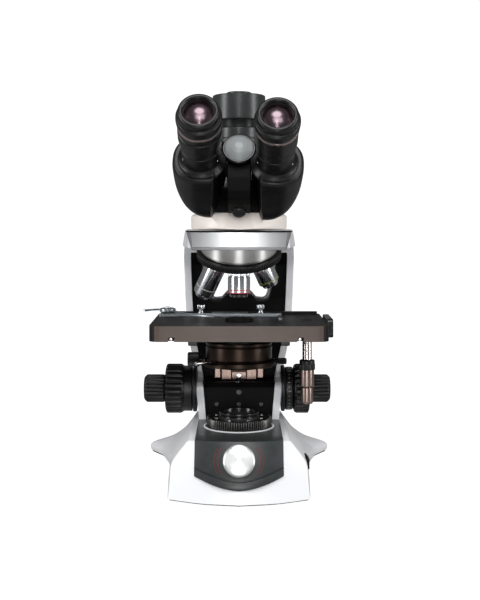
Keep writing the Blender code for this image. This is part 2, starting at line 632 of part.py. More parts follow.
def make_condenser():
    bore = CONDENSER_RADIUS + 1.0
    mount = ring("condenser_mount", MOUNT_RADIUS, bore, MOUNT_LOW, MOUNT_HIGH, "black_paint")
    boolean(mount, box("mount_arm", (-14.0, 37.5, MOUNT_LOW), (14.0, 63.6, MOUNT_HIGH)), "UNION")
    boolean(mount, box("mount_tongue", (-8.0, 63.0, 106.0), (8.0, 68.0, MOUNT_HIGH)), "UNION")
    profile = [(0, CONDENSER_TOP), (14.0, CONDENSER_TOP), (17.0, 148.0), (CONDENSER_RADIUS, 147.0),
               (CONDENSER_RADIUS, 125.0), (28.0, 121.0), (14.0, 121.0), (14.0, 124.0), (0, 124.0)]
    body = turned("condenser_body", profile, "black_paint")
    slot = box("iris_slot", (-50.0, -36.0, 126.5), (-10.0, -5.0, 130.5))
    boolean(body, slot)
    lever = pivot("iris_axis", (0, 0, 128.5), spin=215.0)
    handle = cylinder("iris_lever", 1.1, 27.0, 52.0, "satin_metal", axis="X", parent=lever, sides=16)
    boolean(handle, cylinder("iris_tip", 2.2, 47.0, 54.0, axis="X", parent=lever, sides=16), "UNION")
    boolean(mount, box("lever_window", (-60.0, -60.0, 126.0), (-12.0, -4.0, 140.0)))
    screw_axis = pivot("centring_axis", (0, 0, 128.5), spin=-14.0)
    screw = cylinder("centring_screw", 3.3, MOUNT_RADIUS + 1.0, MOUNT_RADIUS + 10.5, "satin_metal",
                     axis="X", parent=screw_axis, sides=20)
    boolean(screw, cylinder("screw_stem", 1.6, CONDENSER_RADIUS + GAP, MOUNT_RADIUS + 2.0, axis="X",
                            parent=screw_axis, sides=16), "UNION")
    boolean(mount, cylinder("screw_hole", 1.9, 30.0, 50.0, axis="X", parent=screw_axis, sides=16))
    knob_axis = pivot("condenser_knob_axis", (0, 6.0, 128.0))
    height_knob = prism("condenser_knob", knurled(7.6, 0.6, 24), -54.0, -41.5, "black_paint", axis="X",
                        parent=knob_axis)
    boolean(height_knob, cylinder("knob_stem", 2.5, -42.0, -37.0, axis="X", parent=knob_axis), "UNION")
    boolean(mount, cylinder("knob_hole", 2.9, -45.0, -30.0, axis="X", parent=knob_axis))


# ------------------------------------------------------------------------- head

def ellipse(cx, cy, ax, ay, height, count=32, power=2.4):
    """A squared-off ellipse, as a ring of points."""
    points = []
    for i in range(count):
        angle = 2 * math.pi * i / count
        c, s = math.cos(angle), math.sin(angle)
        points.append((cx + ax * math.copysign(abs(c) ** (2 / power), c),
                       cy + ay * math.copysign(abs(s) ** (2 / power), s), height))
    return points


# Sections of the right prism housing, from the back to the front of the hinge:
# distance along the hinge, middle (X, Y) and half size (X, Y)
HOUSING_SECTIONS = (
    (-63.0, 25.0, -20.0, 14.0, 22.0),
    (-58.0, 27.5, -21.5, 20.0, 27.5),
    (-48.0, 30.5, -21.0, 26.0, 29.5),
    (-34.0, 33.0, -18.0, 29.0, 29.0),
    (-16.0, 34.5, -15.5, 29.5, 28.0),
    (-4.0, 35.0, -15.0, 29.0, 27.5),
    (0.0, 35.5, -15.5, 26.5, 25.5),
)


def make_head_base():
    spin = pivot("head_axis", (0, 0, 0))
    profile = [(0, HEAD_BASE_TOP), (34.0, HEAD_BASE_TOP), (HEAD_BASE_RADIUS, 275.5),
               (HEAD_BASE_RADIUS, ARM_TOP + 1.0), (0, ARM_TOP + 1.0)]
    turned("head_base", profile, "white_plastic", parent=spin, steps=40)
    block = [(-30, -34), (30, -34), (30, 34), (-30, 34)]
    body = prism("head_body", rounded(block, [6, 6, 14, 14]), HEAD_BASE_TOP + GAP, 352.0, "black_paint",
                 parent=spin)
    soften(body, 1.5)
    return spin


# Side outline of the column between the housings, in the hinge frame
COLUMN_SIDE = [(-13.6, -10), (-30, -10), (-39, -20), (-42, -40), (-41, -60), (-28, -67), (-13.6, -67)]
COLUMN_HALF_WIDTH = 11.0


def swing_room(housing, side, sign):
    """Clear the head base out of a housing over the whole of its swing."""
    hinge = Matrix.Translation(Vector((0, HINGE_Y, HINGE_Z)) * MM)
    hinge = hinge @ Matrix.Rotation(math.radians(90.0 - EYE_TILT), 4, "X")
    slope_top = HEAD_BASE_TOP + SWING_GAP
    profile = [(0, slope_top), (34.0 + SWING_GAP, slope_top), (HEAD_BASE_RADIUS + SWING_GAP, 276.2),
               (HEAD_BASE_RADIUS + SWING_GAP, 250.0), (0, 250.0)]
    for angle in range(0, SWING + 1, 3):
        room = turned(f"{side}_swing_room_{angle}", profile, None, steps=48)
        turn = Matrix.Rotation(math.radians(angle * sign), 4, "Z")
        room.matrix_local = hinge @ turn @ hinge.inverted()
        boolean(housing, room)


def make_housings(head):
    """The two prism housings, each with its eye tube, which swing about the hinge."""
    hinge = pivot("hinge_frame", (0, HINGE_Y, HINGE_Z), tilt=90.0 - EYE_TILT, parent=head)
    body = bpy.data.objects["head_body"]
    boolean(body, cylinder("hinge_room", 90.0, -62.0 - 3.0, 60.0, parent=hinge, sides=24))
    column = prism("front_column", COLUMN_SIDE, -COLUMN_HALF_WIDTH, COLUMN_HALF_WIDTH, axis="X", parent=hinge)
    boolean(body, column, "UNION")
    boolean(body, cylinder("lug_room", LUG_RADIUS + 0.6, -63.0, 30.0, parent=hinge))
    boolean(body, cylinder("hinge_barrel", BARREL_RADIUS, -90.0, -7.3, parent=hinge), "UNION")
    turned("hinge_cap", [(0, 2.6), (7.0, 1.6), (12.0, -0.6), (14.6, -2.6), (16.8, -3.6), (16.8, -7.0), (0, -7.0)],
           "satin_metal", parent=pivot("hinge_cap_axis", (0, 0, 0), parent=hinge))
    for side, sign in (("left", -1.0), ("right", 1.0)):
        arm = pivot(f"{side}_arm_axis", (0, 0, 0), parent=hinge, spin=HEAD_ROLL * -1.0)
        sections = []
        for height, cx, cy, ax, ay in HOUSING_SECTIONS:
            ring_points = ellipse(cx, cy, ax, ay, height)
            sections.append([(x * sign, y, z) for x, y, z in ring_points])
        housing = loft(f"{side}_housing", sections, "black_paint", parent=arm)
        fold = INNER_FACE + 90.0 * math.tan(math.radians(FOLD))
        split = [(INNER_FACE, 90), (-90, 90), (-90, -90), (fold, -90), (INNER_FACE, 0)]
        split = [(x * sign, y) for x, y in split]
        boolean(housing, prism(f"{side}_split", split, -90, 40, parent=arm))
        low, high = LUGS[side]
        boolean(housing, cylinder(f"{side}_lug", LUG_RADIUS, low, high, parent=arm), "UNION")
        start, stop = sorted((8.0 * sign, (INNER_FACE + 4.0) * sign))
        web = box(f"{side}_web", (start, -6.0, low + 1.0), (stop, 6.0, high - 1.0), parent=arm)
        boolean(housing, web, "UNION")
        boolean(housing, cylinder(f"{side}_barrel_bore", BARREL_RADIUS + 0.4, -90.0, 40.0, parent=arm))
        boolean(housing, cylinder(f"{side}_cap_room", 17.2, -7.4, 20.0, parent=arm))
        swing_room(housing, side, sign)
        tube_x = sign * TUBE_OFFSET * math.cos(math.radians(TUBE_DROOP))
        tube_y = -TUBE_OFFSET * math.sin(math.radians(TUBE_DROOP))
        tube_at = (tube_x, tube_y, 0)
        boolean(housing, cylinder(f"{side}_tube", TUBE_RADIUS, -5.0, 37.0, at=tube_at, parent=arm), "UNION")
        make_eyepiece(side, tube_at, arm)


def make_eyepiece(side, at, arm):
    low = 37.0 + GAP
    if side == "left":
        axis = pivot("diopter_axis", at, parent=arm)
        profile = [(0, 50.0), (20.2, 50.0), (20.8, 48.0), (20.8, low), (0, low)]
        turned("diopter_ring", profile, "black_paint", parent=axis, steps=36)
        low = 50.0 + GAP
    profile = [(0, 74.0), (13.6, 74.0), (15.0, 80.0), (17.8, 80.0), (19.4, 78.5), (19.4, 72.0),
               (EYEPIECE_RADIUS, 71.0), (EYEPIECE_RADIUS, 60.0), (20.2, 58.0), (20.2, low), (0, low)]
    turned(f"{side}_eyepiece", profile, "black_paint", at=at, parent=arm)
    dome = [(0, 77.4), (7.0, 76.8), (13.2, 74.8), (13.2, 74.0 + GAP), (0, 74.0 + GAP)]
    turned(f"{side}_eye_lens", dome, "glass", at=at, parent=arm, steps=24)


def make_photo_tube(head):
    at = (0, PHOTO_Y, 0)
    tube = [(0, 371.0), (23.0, 371.0), (24.0, 370.0), (24.0, 352.0 + GAP), (0, 352.0 + GAP)]
    turned("photo_tube", tube, "black_paint", at=at, parent=head)
    cap = [(0, 409.0), (13.0, 409.0), (13.0, PHOTO_TOP), (PHOTO_RADIUS - 1, PHOTO_TOP),
           (PHOTO_RADIUS, PHOTO_TOP - 1), (PHOTO_RADIUS, 379.0), (19.5, 379.0), (19.5, 371.0 + GAP),
           (0, 371.0 + GAP)]
    turned("port_cap", cap, "black_paint", at=at, parent=head)


clear_scene()
CUTTERS = make_collection("cutters")
PARTS = make_collection("microscope")
make_materials()
ROOT = bpy.data.objects.new("microscope", None)
PARTS.objects.link(ROOT)
ROOT.location = (AXIS_X * MM, AXIS_Y * MM, 0.0)

make_base()
make_front_panel()
make_base_controls()
make_illuminator()
make_arm()
make_nosepiece()
make_focus()
make_stage()
make_stage_drive()
make_slide_holder()
make_condenser()
head_axis = make_head_base()
make_housings(head_axis)
make_photo_tube(head_axis)
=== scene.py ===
"""Looks for the trinocular microscope: fine meshes, finishes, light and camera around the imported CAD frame.

Shapes are worked out in millimetres in the frame of the joint or the axis they belong to.
"""

import json
import math

import bmesh
import bpy
from mathutils import Matrix, Vector


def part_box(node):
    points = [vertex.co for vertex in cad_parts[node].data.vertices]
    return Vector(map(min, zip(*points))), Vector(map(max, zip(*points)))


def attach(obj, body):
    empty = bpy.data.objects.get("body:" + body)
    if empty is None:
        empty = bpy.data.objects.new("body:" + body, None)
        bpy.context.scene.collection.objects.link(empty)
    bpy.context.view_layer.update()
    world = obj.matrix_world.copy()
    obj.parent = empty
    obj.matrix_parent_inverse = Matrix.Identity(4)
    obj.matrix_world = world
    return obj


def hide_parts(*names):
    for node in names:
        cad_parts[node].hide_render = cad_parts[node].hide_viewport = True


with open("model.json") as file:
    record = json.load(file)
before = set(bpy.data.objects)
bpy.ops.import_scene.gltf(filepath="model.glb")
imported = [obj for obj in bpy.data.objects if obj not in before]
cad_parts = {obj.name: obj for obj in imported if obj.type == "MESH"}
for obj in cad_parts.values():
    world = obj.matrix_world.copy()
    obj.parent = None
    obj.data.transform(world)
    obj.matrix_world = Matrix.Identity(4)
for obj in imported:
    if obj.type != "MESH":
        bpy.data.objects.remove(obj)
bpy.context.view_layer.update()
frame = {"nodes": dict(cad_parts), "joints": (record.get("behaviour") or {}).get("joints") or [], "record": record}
JOINTS = {joint["name"]: joint for joint in frame["joints"]}
MM = 0.001


# ----------------------------------------------------------------------- places

def turn(degrees, axis="Z"):
    """A rotation about an axis of the frame it is applied in."""
    return Matrix.Rotation(math.radians(degrees), 4, axis)


def axis_frame(origin, direction, across=(1.0, 0.0, 0.0), spin=0.0):
    """A frame in millimetres whose Z is the given direction and whose X stays close to across."""
    z = Vector(direction).normalized()
    x = Vector(across)
    x = (x - z * x.dot(z)).normalized()
    matrix = Matrix((x, z.cross(x), z)).transposed().to_4x4()
    matrix.translation = Vector(origin)
    return matrix @ turn(spin) @ Matrix.Scale(MM, 4)


def joint_frame(name, across=(1.0, 0.0, 0.0), spin=0.0):
    """The frame of a hinge, about its own axis."""
    joint = JOINTS[name]
    return axis_frame(joint["pos_m"], joint["axis"], across, spin)


def facing_front(x, y, z):
    """A place in millimetres of the stand, with its Z towards the front."""
    return STAND @ Matrix.Translation((x, y, z)) @ turn(90, "X")


AXIS_Y = JOINTS["head_turn"]["pos_m"][1]
STAND = axis_frame((0.0, AXIS_Y, 0.0), (0, 0, 1))
HEAD_ROLL = -3.0
HINGE = joint_frame("left_arm_swing")
EYE_ARM = joint_frame("left_arm_swing", spin=HEAD_ROLL)
TURRET = joint_frame("turret_turn")
FOCUS = joint_frame("coarse_turn", across=(0.0, 1.0, 0.0))
DIAL = joint_frame("dial_turn")


# ----------------------------------------------------------------- shape helpers

SHARP = 38.0


def piece(name, bm, finish, body, nodes=(), at=STAND, bevel=0.0, sharp=SHARP):
    """A shown object from a bmesh in millimetres of a frame; it rides on a body and stands for CAD nodes."""
    bmesh.ops.recalc_face_normals(bm, faces=bm.faces)
    mesh = bpy.data.meshes.new(name)
    bm.to_mesh(mesh)
    bm.free()
    mesh.transform(Matrix.Scale(MM, 4))
    shade_smooth(mesh, sharp)
    mesh.materials.append(finish)
    obj = bpy.data.objects.new(name, mesh)
    bpy.context.scene.collection.objects.link(obj)
    obj.matrix_world = at @ Matrix.Scale(1.0 / MM, 4)
    if bevel:
        add_bevel(obj, bevel, sharp)
    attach(obj, body)
    if nodes:
        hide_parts(*nodes)
    return obj


def shade_smooth(mesh, sharp):
    """Smooth shading, with every edge that turns more than an angle kept crisp."""
    mesh.polygons.foreach_set("use_smooth", [True] * len(mesh.polygons))
    mesh.set_sharp_from_angle(angle=math.radians(sharp))


def add_bevel(obj, width, angle=SHARP):
    mod = obj.modifiers.new("Bevel", "BEVEL")
    mod.width = width * MM
    mod.segments = 3
    mod.limit_method = "ANGLE"
    mod.angle_limit = math.radians(angle)
    mod.harden_normals = True


def paint_faces(obj, finish, chosen):
    """Give a second finish to the faces picked by a test of their centre in millimetres and their normal."""
    obj.data.materials.append(finish)
    for face in obj.data.polygons:
        face.material_index = int(chosen(face.center / MM, face.normal))


def corner_arc(here, before, after, reach, steps):
    """Points along the curve that rounds a corner, from a reach before it to a reach after it."""
    start = here + before.normalized() * reach
    end = here + after.normalized() * reach
    arc = []
    for k in range(steps + 1):
        t = k / steps
        arc.append(tuple(start * (1 - t) ** 2 + here * 2 * t * (1 - t) + end * t ** 2))
    return arc


def rounded(points, radii, arc=6):
    """Round the corners of a closed outline, each with its own radius."""
    result = []
    for i, (point, radius) in enumerate(zip(points, radii)):
        if radius <= 0:
            result.append(tuple(point))
            continue
        here = Vector(point)
        before = Vector(points[i - 1]) - here
        after = Vector(points[(i + 1) % len(points)]) - here
        reach = min(radius / math.tan(before.angle(after) / 2), before.length * 0.48, after.length * 0.48)
        result += corner_arc(here, before, after, reach, arc)
    return result


def rectangle(low, high, radius, upper=None, arc=6):
    """A rectangle with rounded corners; its upper two corners may have a radius of their own."""
    (x0, y0), (x1, y1) = low, high
    top = radius if upper is None else upper
    return rounded([(x0, y0), (x1, y0), (x1, y1), (x0, y1)], (radius, radius, top, top), arc)


def trapezium(low_half, high_half, low, high, radius):
    """An outline that is symmetric about X = 0, with its two half widths at its lowest and highest."""
    return rounded([(-low_half, low), (low_half, low), (high_half, high), (-high_half, high)], [radius] * 4)


def smooth_curve(points, pieces=6):
    """Points along a Catmull-Rom curve through the given points."""
    padded = [points[0]] + list(points) + [points[-1]]
    result = []
    for a, b, c, d in zip(padded, padded[1:], padded[2:], padded[3:]):
        a, b, c, d = (Vector(p) for p in (a, b, c, d))
        for k in range(pieces):
            t = k / pieces
            bend = (2 * a - 5 * b + 4 * c - d) * t ** 2 + (3 * b - a - 3 * c + d) * t ** 3
            result.append(tuple((2 * b + (c - a) * t + bend) * 0.5))
    result.append(tuple(points[-1]))
    return result


def filleted(profile, radius):
    """Round the corners of an open profile, so that its edges catch the light."""
    points = [tuple(profile[0])]
    for a, b, c in zip(profile, profile[1:], profile[2:]):
        here = Vector(b)
        before, after = Vector(a) - here, Vector(c) - here
        reach = min(radius, before.length * 0.45, after.length * 0.45)
        points += corner_arc(here, before, after, reach, 3)
    return points + [tuple(profile[-1])]


def lathe(profile, steps=96, ribs=0, depth=0.0, span=(0.0, 0.0), fillet=0.5, sharpness=1.0):
    """Turn a profile of (radius, height); ribs are cut into it where its height is inside the span."""
    points = filleted(profile, fillet) if fillet else list(profile)
    low, high = span
    bm = bmesh.new()
    rings = []
    for radius, height in points:
        if radius < 1e-6:
            rings.append([bm.verts.new((0.0, 0.0, height))])
            continue
        ribbed = ribs and low <= height <= high
        loop = []
        for k in range(steps):
            angle = 2 * math.pi * k / steps
            wave = (0.5 - 0.5 * math.cos(ribs * angle)) ** sharpness if ribbed else 0.0
            r = radius - depth * wave
            loop.append(bm.verts.new((r * math.cos(angle), r * math.sin(angle), height)))
        rings.append(loop)
    for upper, lower in zip(rings, rings[1:]):
        join_rings(bm, upper, lower)
    if points[0] == points[-1]:
        bmesh.ops.remove_doubles(bm, verts=bm.verts, dist=0.001)
    return bm


def cylinder(radius, high, low, steps=96):
    """A plain cylinder to cut a hole with or to join on."""
    return lathe([(0, high), (radius, high), (radius, low), (0, low)], steps, fillet=0)


def join_rings(bm, a, b):
    """Faces between two rings of the same length, or between a ring and its centre point."""
    if len(a) == 1 and len(b) == 1:
        return
    count = max(len(a), len(b))
    for k in range(count):
        n = (k + 1) % count
        if len(a) == 1:
            bm.faces.new((a[0], b[n], b[k]))
        elif len(b) == 1:
            bm.faces.new((a[k], a[n], b[0]))
        else:
            bm.faces.new((a[k], a[n], b[n], b[k]))


def skin(bm, rows):
    """Faces between neighbouring open rows of the same length."""
    for a, b in zip(rows, rows[1:]):
        for p, q, r, s in zip(a, b, b[1:], a[1:]):
            bm.faces.new((p, q, r, s))


def loft(sections):
    """Join rings of points with the same count and close both ends."""
    bm = bmesh.new()
    rings = [[bm.verts.new(p) for p in section] for section in sections]
    for lower, upper in zip(rings, rings[1:]):
        join_rings(bm, lower, upper)
    bm.faces.new(rings[0])
    bm.faces.new(rings[-1])
    return bm


def slab(outline, low, high, axis="Z"):
    """A flat outline made solid along an axis; outlines are (Y, Z), (X, Z) or (X, Y) points."""
    order = {"X": lambda u, v, w: (w, u, v), "Y": lambda u, v, w: (u, w, v), "Z": lambda u, v, w: (u, v, w)}
    return loft([[order[axis](u, v, w) for u, v in outline] for w in (low, high)])


def block(low, high):
    """A box between two corners."""
    (x0, y0, z0), (x1, y1, z1) = low, high
    return slab([(x0, y0), (x1, y0), (x1, y1), (x0, y1)], z0, z1)


def carve(obj, bm, at=STAND, operation="DIFFERENCE"):
    """Cut a bmesh in millimetres of a frame out of a piece, or join it on, for good."""
    bmesh.ops.recalc_face_normals(bm, faces=bm.faces)
    mesh = bpy.data.meshes.new("tool")
    bm.to_mesh(mesh)
    bm.free()
    tool = bpy.data.objects.new("tool", mesh)
    bpy.context.scene.collection.objects.link(tool)
    tool.matrix_world = at
    mod = obj.modifiers.new("Carve", "BOOLEAN")
    mod.operation = operation
    mod.solver = "EXACT"
    mod.object = tool
    bake_modifiers(obj)
    bpy.data.objects.remove(tool, do_unlink=True)
    bpy.data.meshes.remove(mesh)


def join(obj, bm, at=STAND):
    """Join a bmesh in millimetres of a frame to a piece, for good."""
    carve(obj, bm, at, "UNION")


def bake_modifiers(obj, sharp=SHARP):
    """Make the modifiers of a piece part of its mesh."""
    graph = bpy.context.evaluated_depsgraph_get()
    mesh = bpy.data.meshes.new_from_object(obj.evaluated_get(graph))
    old = obj.data
    obj.modifiers.clear()
    obj.data = mesh
    bpy.data.meshes.remove(old)
    mesh.name = obj.name
    shade_smooth(mesh, sharp)


def smooth_remesh(obj, voxel, rounds):
    """Blend joined solids into one moulded skin."""
    mod = obj.modifiers.new("Remesh", "REMESH")
    mod.mode = "VOXEL"
    mod.voxel_size = voxel * MM
    relax = obj.modifiers.new("Smooth", "SMOOTH")
    relax.iterations = rounds
    relax.factor = 0.5
    bake_modifiers(obj, 60.0)


def screw_head(name, radius, at, body, finish, height=1.1):
    """A cap screw with a hexagon socket, its head standing along Z."""
    profile = [(0, height), (radius * 0.8, height), (radius, height * 0.72), (radius, -0.6), (0, -0.6)]
    head = piece(name, lathe(profile, 32, fillet=0.15), finish, body, (), at)
    corners = [math.radians(60 * k) for k in range(6)]
    socket = [(radius * 0.5 * math.cos(angle), radius * 0.5 * math.sin(angle)) for angle in corners]
    carve(head, slab(socket, height * 0.35, height + 1.0), at)


# -------------------------------------------------------------------- materials

METAL_GRAIN = 1400.0


def add_node(owner, kind, **values):
    """A new node of a material or a world; its inputs are set by name, with _ for a space."""
    node = owner.node_tree.nodes.new(kind)
    for key, value in values.items():
        node.inputs[key.replace("_", " ")].default_value = value
    return node


def new_material(name, colour, roughness, metallic=0.0, **sockets):
    """A Principled material; its other sockets are set by name, with _ for a space."""
    mat = bpy.data.materials.new(name)
    mat.use_nodes = True
    values = {"Base Color": (*colour, 1.0), "Roughness": roughness, "Metallic": metallic, **sockets}
    for key, value in values.items():
        mat.node_tree.nodes["Principled BSDF"].inputs[key.replace("_", " ")].default_value = value
    return mat


def drive(mat, output, socket):
    """Link the output of a node to a socket of the Principled shader."""
    mat.node_tree.links.new(output, mat.node_tree.nodes["Principled BSDF"].inputs[socket])


def noise_node(mat, scale, detail, stretch):
    """Noise over the object's own coordinates, stretched to make grain."""
    links = mat.node_tree.links
    coords = add_node(mat, "ShaderNodeTexCoord")
    mapping = add_node(mat, "ShaderNodeMapping", Scale=stretch)
    noise = add_node(mat, "ShaderNodeTexNoise", Scale=scale, Detail=detail)
    links.new(coords.outputs["Object"], mapping.inputs["Vector"])
    links.new(mapping.outputs["Vector"], noise.inputs["Vector"])
    return noise


def colour_ramp(mat, factor, stops):
    """Drive the base colour by a factor, through stops of (position, colour)."""
    ramp = add_node(mat, "ShaderNodeValToRGB")
    for element, (position, colour) in zip(ramp.color_ramp.elements, stops):
        element.position = position
        element.color = (*colour, 1.0)
    mat.node_tree.links.new(factor, ramp.inputs["Fac"])
    drive(mat, ramp.outputs["Color"], "Base Color")


def vary_roughness(mat, low, high, scale, stretch=(1, 1, 1)):
    noise = noise_node(mat, scale, 3.0, stretch)
    span = add_node(mat, "ShaderNodeMapRange", From_Min=0.3, From_Max=0.7, To_Min=low, To_Max=high)
    mat.node_tree.links.new(noise.outputs["Fac"], span.inputs["Value"])
    drive(mat, span.outputs["Result"], "Roughness")


def vary_colour(mat, dark, light, scale, stretch=(1, 1, 1)):
    noise = noise_node(mat, scale, 4.0, stretch)
    colour_ramp(mat, noise.outputs["Fac"], ((0.3, dark), (0.7, light)))


def add_bump(mat, scale, strength, distance=0.00005, stretch=(1, 1, 1)):
    noise = noise_node(mat, scale, 3.0, stretch)
    bump = add_node(mat, "ShaderNodeBump", Strength=strength, Distance=distance)
    mat.node_tree.links.new(noise.outputs["Fac"], bump.inputs["Height"])
    drive(mat, bump.outputs["Normal"], "Normal")


def moulded(name, tint):
    """Semi-gloss moulded plastic with a fine spark texture."""
    mat = new_material(name, tint, 0.34, Coat_Weight=0.15, Coat_Roughness=0.25)
    vary_colour(mat, [c * 0.985 for c in tint], [min(c * 1.01, 1.0) for c in tint], 30.0)
    vary_roughness(mat, 0.3, 0.4, 400.0)
    add_bump(mat, 3200.0, 0.06)
    return mat


def black_paint(name, tone, rough, grain=0.1, warmth=1.0, level=0.5):
    """Sprayed paint with a fine grain; a warmth under 1 makes it cooler."""
    mat = new_material(name, (tone,) * 3, rough[0], Specular_IOR_Level=level)
    cool = tone / warmth
    vary_colour(mat, (tone * 0.8, cool * 0.8, cool * 0.82), (tone * 1.18, cool * 1.16, cool * 1.16), 80.0)
    vary_roughness(mat, rough[0], rough[1], 500.0)
    add_bump(mat, 3600.0, grain)
    return mat


def hard_anodised(name, tone, level):
    """Warm hard-anodised plate with a fine machined grain; also gives the painted warm highlight on the stage
    front.
    """
    mat = new_material(name, tone, 0.3, Specular_IOR_Level=level)
    vary_colour(mat, [c * 0.93 for c in tone], [c * 1.07 for c in tone], 60.0)
    vary_roughness(mat, 0.4, 0.5, 700.0, (0.05, 1, 1))
    add_bump(mat, 2600.0, 0.06)
    return mat


def rubber():
    mat = new_material("rubber", (0.012, 0.012, 0.012), 0.7)
    vary_colour(mat, (0.009, 0.009, 0.009), (0.016, 0.016, 0.016), 90.0)
    vary_roughness(mat, 0.62, 0.76, 500.0)
    add_bump(mat, 2200.0, 0.3)
    return mat


def brushed(name, colour, rough, stretch, strength):
    """Metal with grain drawn out along the axes that are stretched least."""
    mat = new_material(name, colour, rough[0], 1.0)
    vary_colour(mat, [c * 0.93 for c in colour], colour, METAL_GRAIN, stretch)
    vary_roughness(mat, rough[0], rough[1], METAL_GRAIN, stretch)
    add_bump(mat, METAL_GRAIN, strength, 0.00002, stretch)
    return mat


def turned(name, colour, rough, metallic=1.0, stretched=0.9):
    """Turned or drawn metal: fine grain round the object's own axis draws highlights out across it."""
    mat = new_material(name, colour, rough, metallic, Anisotropic=stretched, Anisotropic_Rotation=0.25)
    tangent = add_node(mat, "ShaderNodeTangent")
    tangent.direction_type = "RADIAL"
    tangent.axis = "Z"
    drive(mat, tangent.outputs["Tangent"], "Tangent")
    vary_colour(mat, [c * 0.96 for c in colour], colour, 900.0, (0.05, 0.05, 1))
    vary_roughness(mat, rough * 0.95, rough * 1.08, METAL_GRAIN, (0.05, 0.05, 1))
    return mat


def coated_glass(name, deep, sheen):
    """A coated lens: deep colour head on, tinted reflection at the edge."""
    mat = new_material(name, deep, 0.22, 0.0, IOR=2.3, Specular_Tint=(1.0, 0.74, 0.84, 1.0))
    weight = add_node(mat, "ShaderNodeLayerWeight", Blend=0.4)
    colour_ramp(mat, weight.outputs["Facing"], ((0.0, deep), (1.0, sheen)))
    vary_roughness(mat, 0.21, 0.23, 40.0)
    return mat


def circuit_green():
    mat = new_material("circuit_green", (0.02, 0.16, 0.06), 0.4)
    vary_colour(mat, (0.012, 0.1, 0.04), (0.03, 0.2, 0.08), 120.0)
    vary_roughness(mat, 0.35, 0.5, 200.0)
    return mat


def painted(name, colour):
    """A fine printed or painted line."""
    mat = new_material(name, colour, 0.35)
    vary_colour(mat, [c * 0.9 for c in colour], colour, 200.0)
    vary_roughness(mat, 0.35, 0.45, 600.0)
    return mat


WHITE = moulded("moulded_white", (0.82, 0.83, 0.85))
WARM_WHITE = moulded("warm_white", (1.0, 0.92, 0.86))
BLACK = black_paint("black_paint", 0.003, (0.3, 0.4), level=0.4)
GLOSS_BLACK = black_paint("gloss_black", 0.003, (0.16, 0.24), 0.04, level=0.45)
MATT_BLACK = black_paint("matt_black", 0.002, (0.5, 0.62), 0.2, level=0.12)
PANEL_BLACK = black_paint("panel_black", 0.024, (0.28, 0.36), 0.08, warmth=0.84)
STAGE = hard_anodised("stage_black", (0.009, 0.0085, 0.0085), 0.14)
# The front face of the stage gets a lighter warm brown than its top: a painted warm highlight.
STAGE_FRONT_HIGHLIGHT = hard_anodised("stage_front_highlight", (0.075, 0.052, 0.043), 0.5)
RUBBER = rubber()
ALUMINIUM = turned("brushed_aluminium", (0.95, 0.945, 0.93), 0.34)
FASCIA_METAL = turned("fascia_metal", (0.28, 0.285, 0.29), 0.2)
SATIN = brushed("satin_metal", (0.38, 0.41, 0.43), (0.34, 0.4), (1, 1, 1), 0.01)
BROWN_METAL = brushed("brown_metal", (0.24, 0.175, 0.15), (0.26, 0.36), (1, 1, 0.03), 0.1)
BAND_METAL = turned("band_metal", (0.42, 0.34, 0.33), 0.28, stretched=0.6)
GREY_METAL = turned("grey_metal", (0.12, 0.12, 0.125), 0.3)
WARM_BLACK = turned("warm_black", (0.036, 0.025, 0.02), 0.36, stretched=0.6)
KNURL_METAL = brushed("knurl_metal", (0.13, 0.127, 0.124), (0.24, 0.3), (1, 1, 0.03), 0.03)
PINK_STEEL = turned("pink_steel", (0.3, 0.225, 0.2), 0.3, stretched=0.5)
SCREW_GREY = black_paint("screw_grey", 0.04, (0.3, 0.4))
CHROME = turned("polished_chrome", (0.84, 0.86, 0.89), 0.16, stretched=0.3)
STEEL = turned("polished_steel", (0.72, 0.67, 0.65), 0.26, stretched=0.5)
LENS = coated_glass("coated_glass", (0.003, 0.001, 0.002), (0.01, 0.002, 0.006))
DARK_LENS = coated_glass("dark_glass", (0.006, 0.006, 0.007), (0.03, 0.03, 0.034))
DIAL_METAL = turned("dial_metal", (0.68, 0.69, 0.69), 0.36, metallic=0.8, stretched=0.85)
HINGE_GREY = moulded("hinge_grey", (0.28, 0.3, 0.305))
BOARD = circuit_green()
RED_LINE = painted("red_line", (0.1, 0.012, 0.012))
RED_BAND = painted("red_band", (0.45, 0.05, 0.07))
YELLOW_BAND = painted("yellow_band", (0.27, 0.28, 0.04))
BLUE_BAND = painted("blue_band", (0.06, 0.22, 0.55))
WHITE_MARK = painted("white_mark", (0.62, 0.62, 0.62))

# The finish of each material slot of the CAD model, and the other finishes that count as the same slot
SLOT_FINISH = {
    "white_plastic": WHITE, "black_paint": BLACK, "black_rubber": RUBBER, "satin_metal": SATIN,
    "chrome": CHROME, "glass": LENS, "stage_black": STAGE, "board_green": BOARD,
}
SLOT_RELATIVES = {
    "white_plastic": (WARM_WHITE,),
    "black_paint": (GLOSS_BLACK, MATT_BLACK, PANEL_BLACK, WARM_BLACK, KNURL_METAL, SCREW_GREY, RED_LINE,
                    WHITE_MARK),
    "satin_metal": (ALUMINIUM, FASCIA_METAL, BROWN_METAL, GREY_METAL, DIAL_METAL, HINGE_GREY),
    "chrome": (STEEL, PINK_STEEL, BAND_METAL, RED_BAND, YELLOW_BAND, BLUE_BAND),
    "glass": (DARK_LENS,),
    "stage_black": (STAGE_FRONT_HIGHLIGHT,),
}
SLOT_OF = {finish.name: slot for slot, finish in SLOT_FINISH.items()}
SLOT_OF.update({finish.name: slot for slot, finishes in SLOT_RELATIVES.items() for finish in finishes})


def finish_cad_nodes():
    """Give every CAD node the full finish of its material slot."""
    for part in frame["record"]["subparts"]:
        obj = frame["nodes"][part["node"]]
        obj.data.materials.clear()
        obj.data.materials.append(SLOT_FINISH[part["material_slot"]])


# ------------------------------------------------------------------------- base

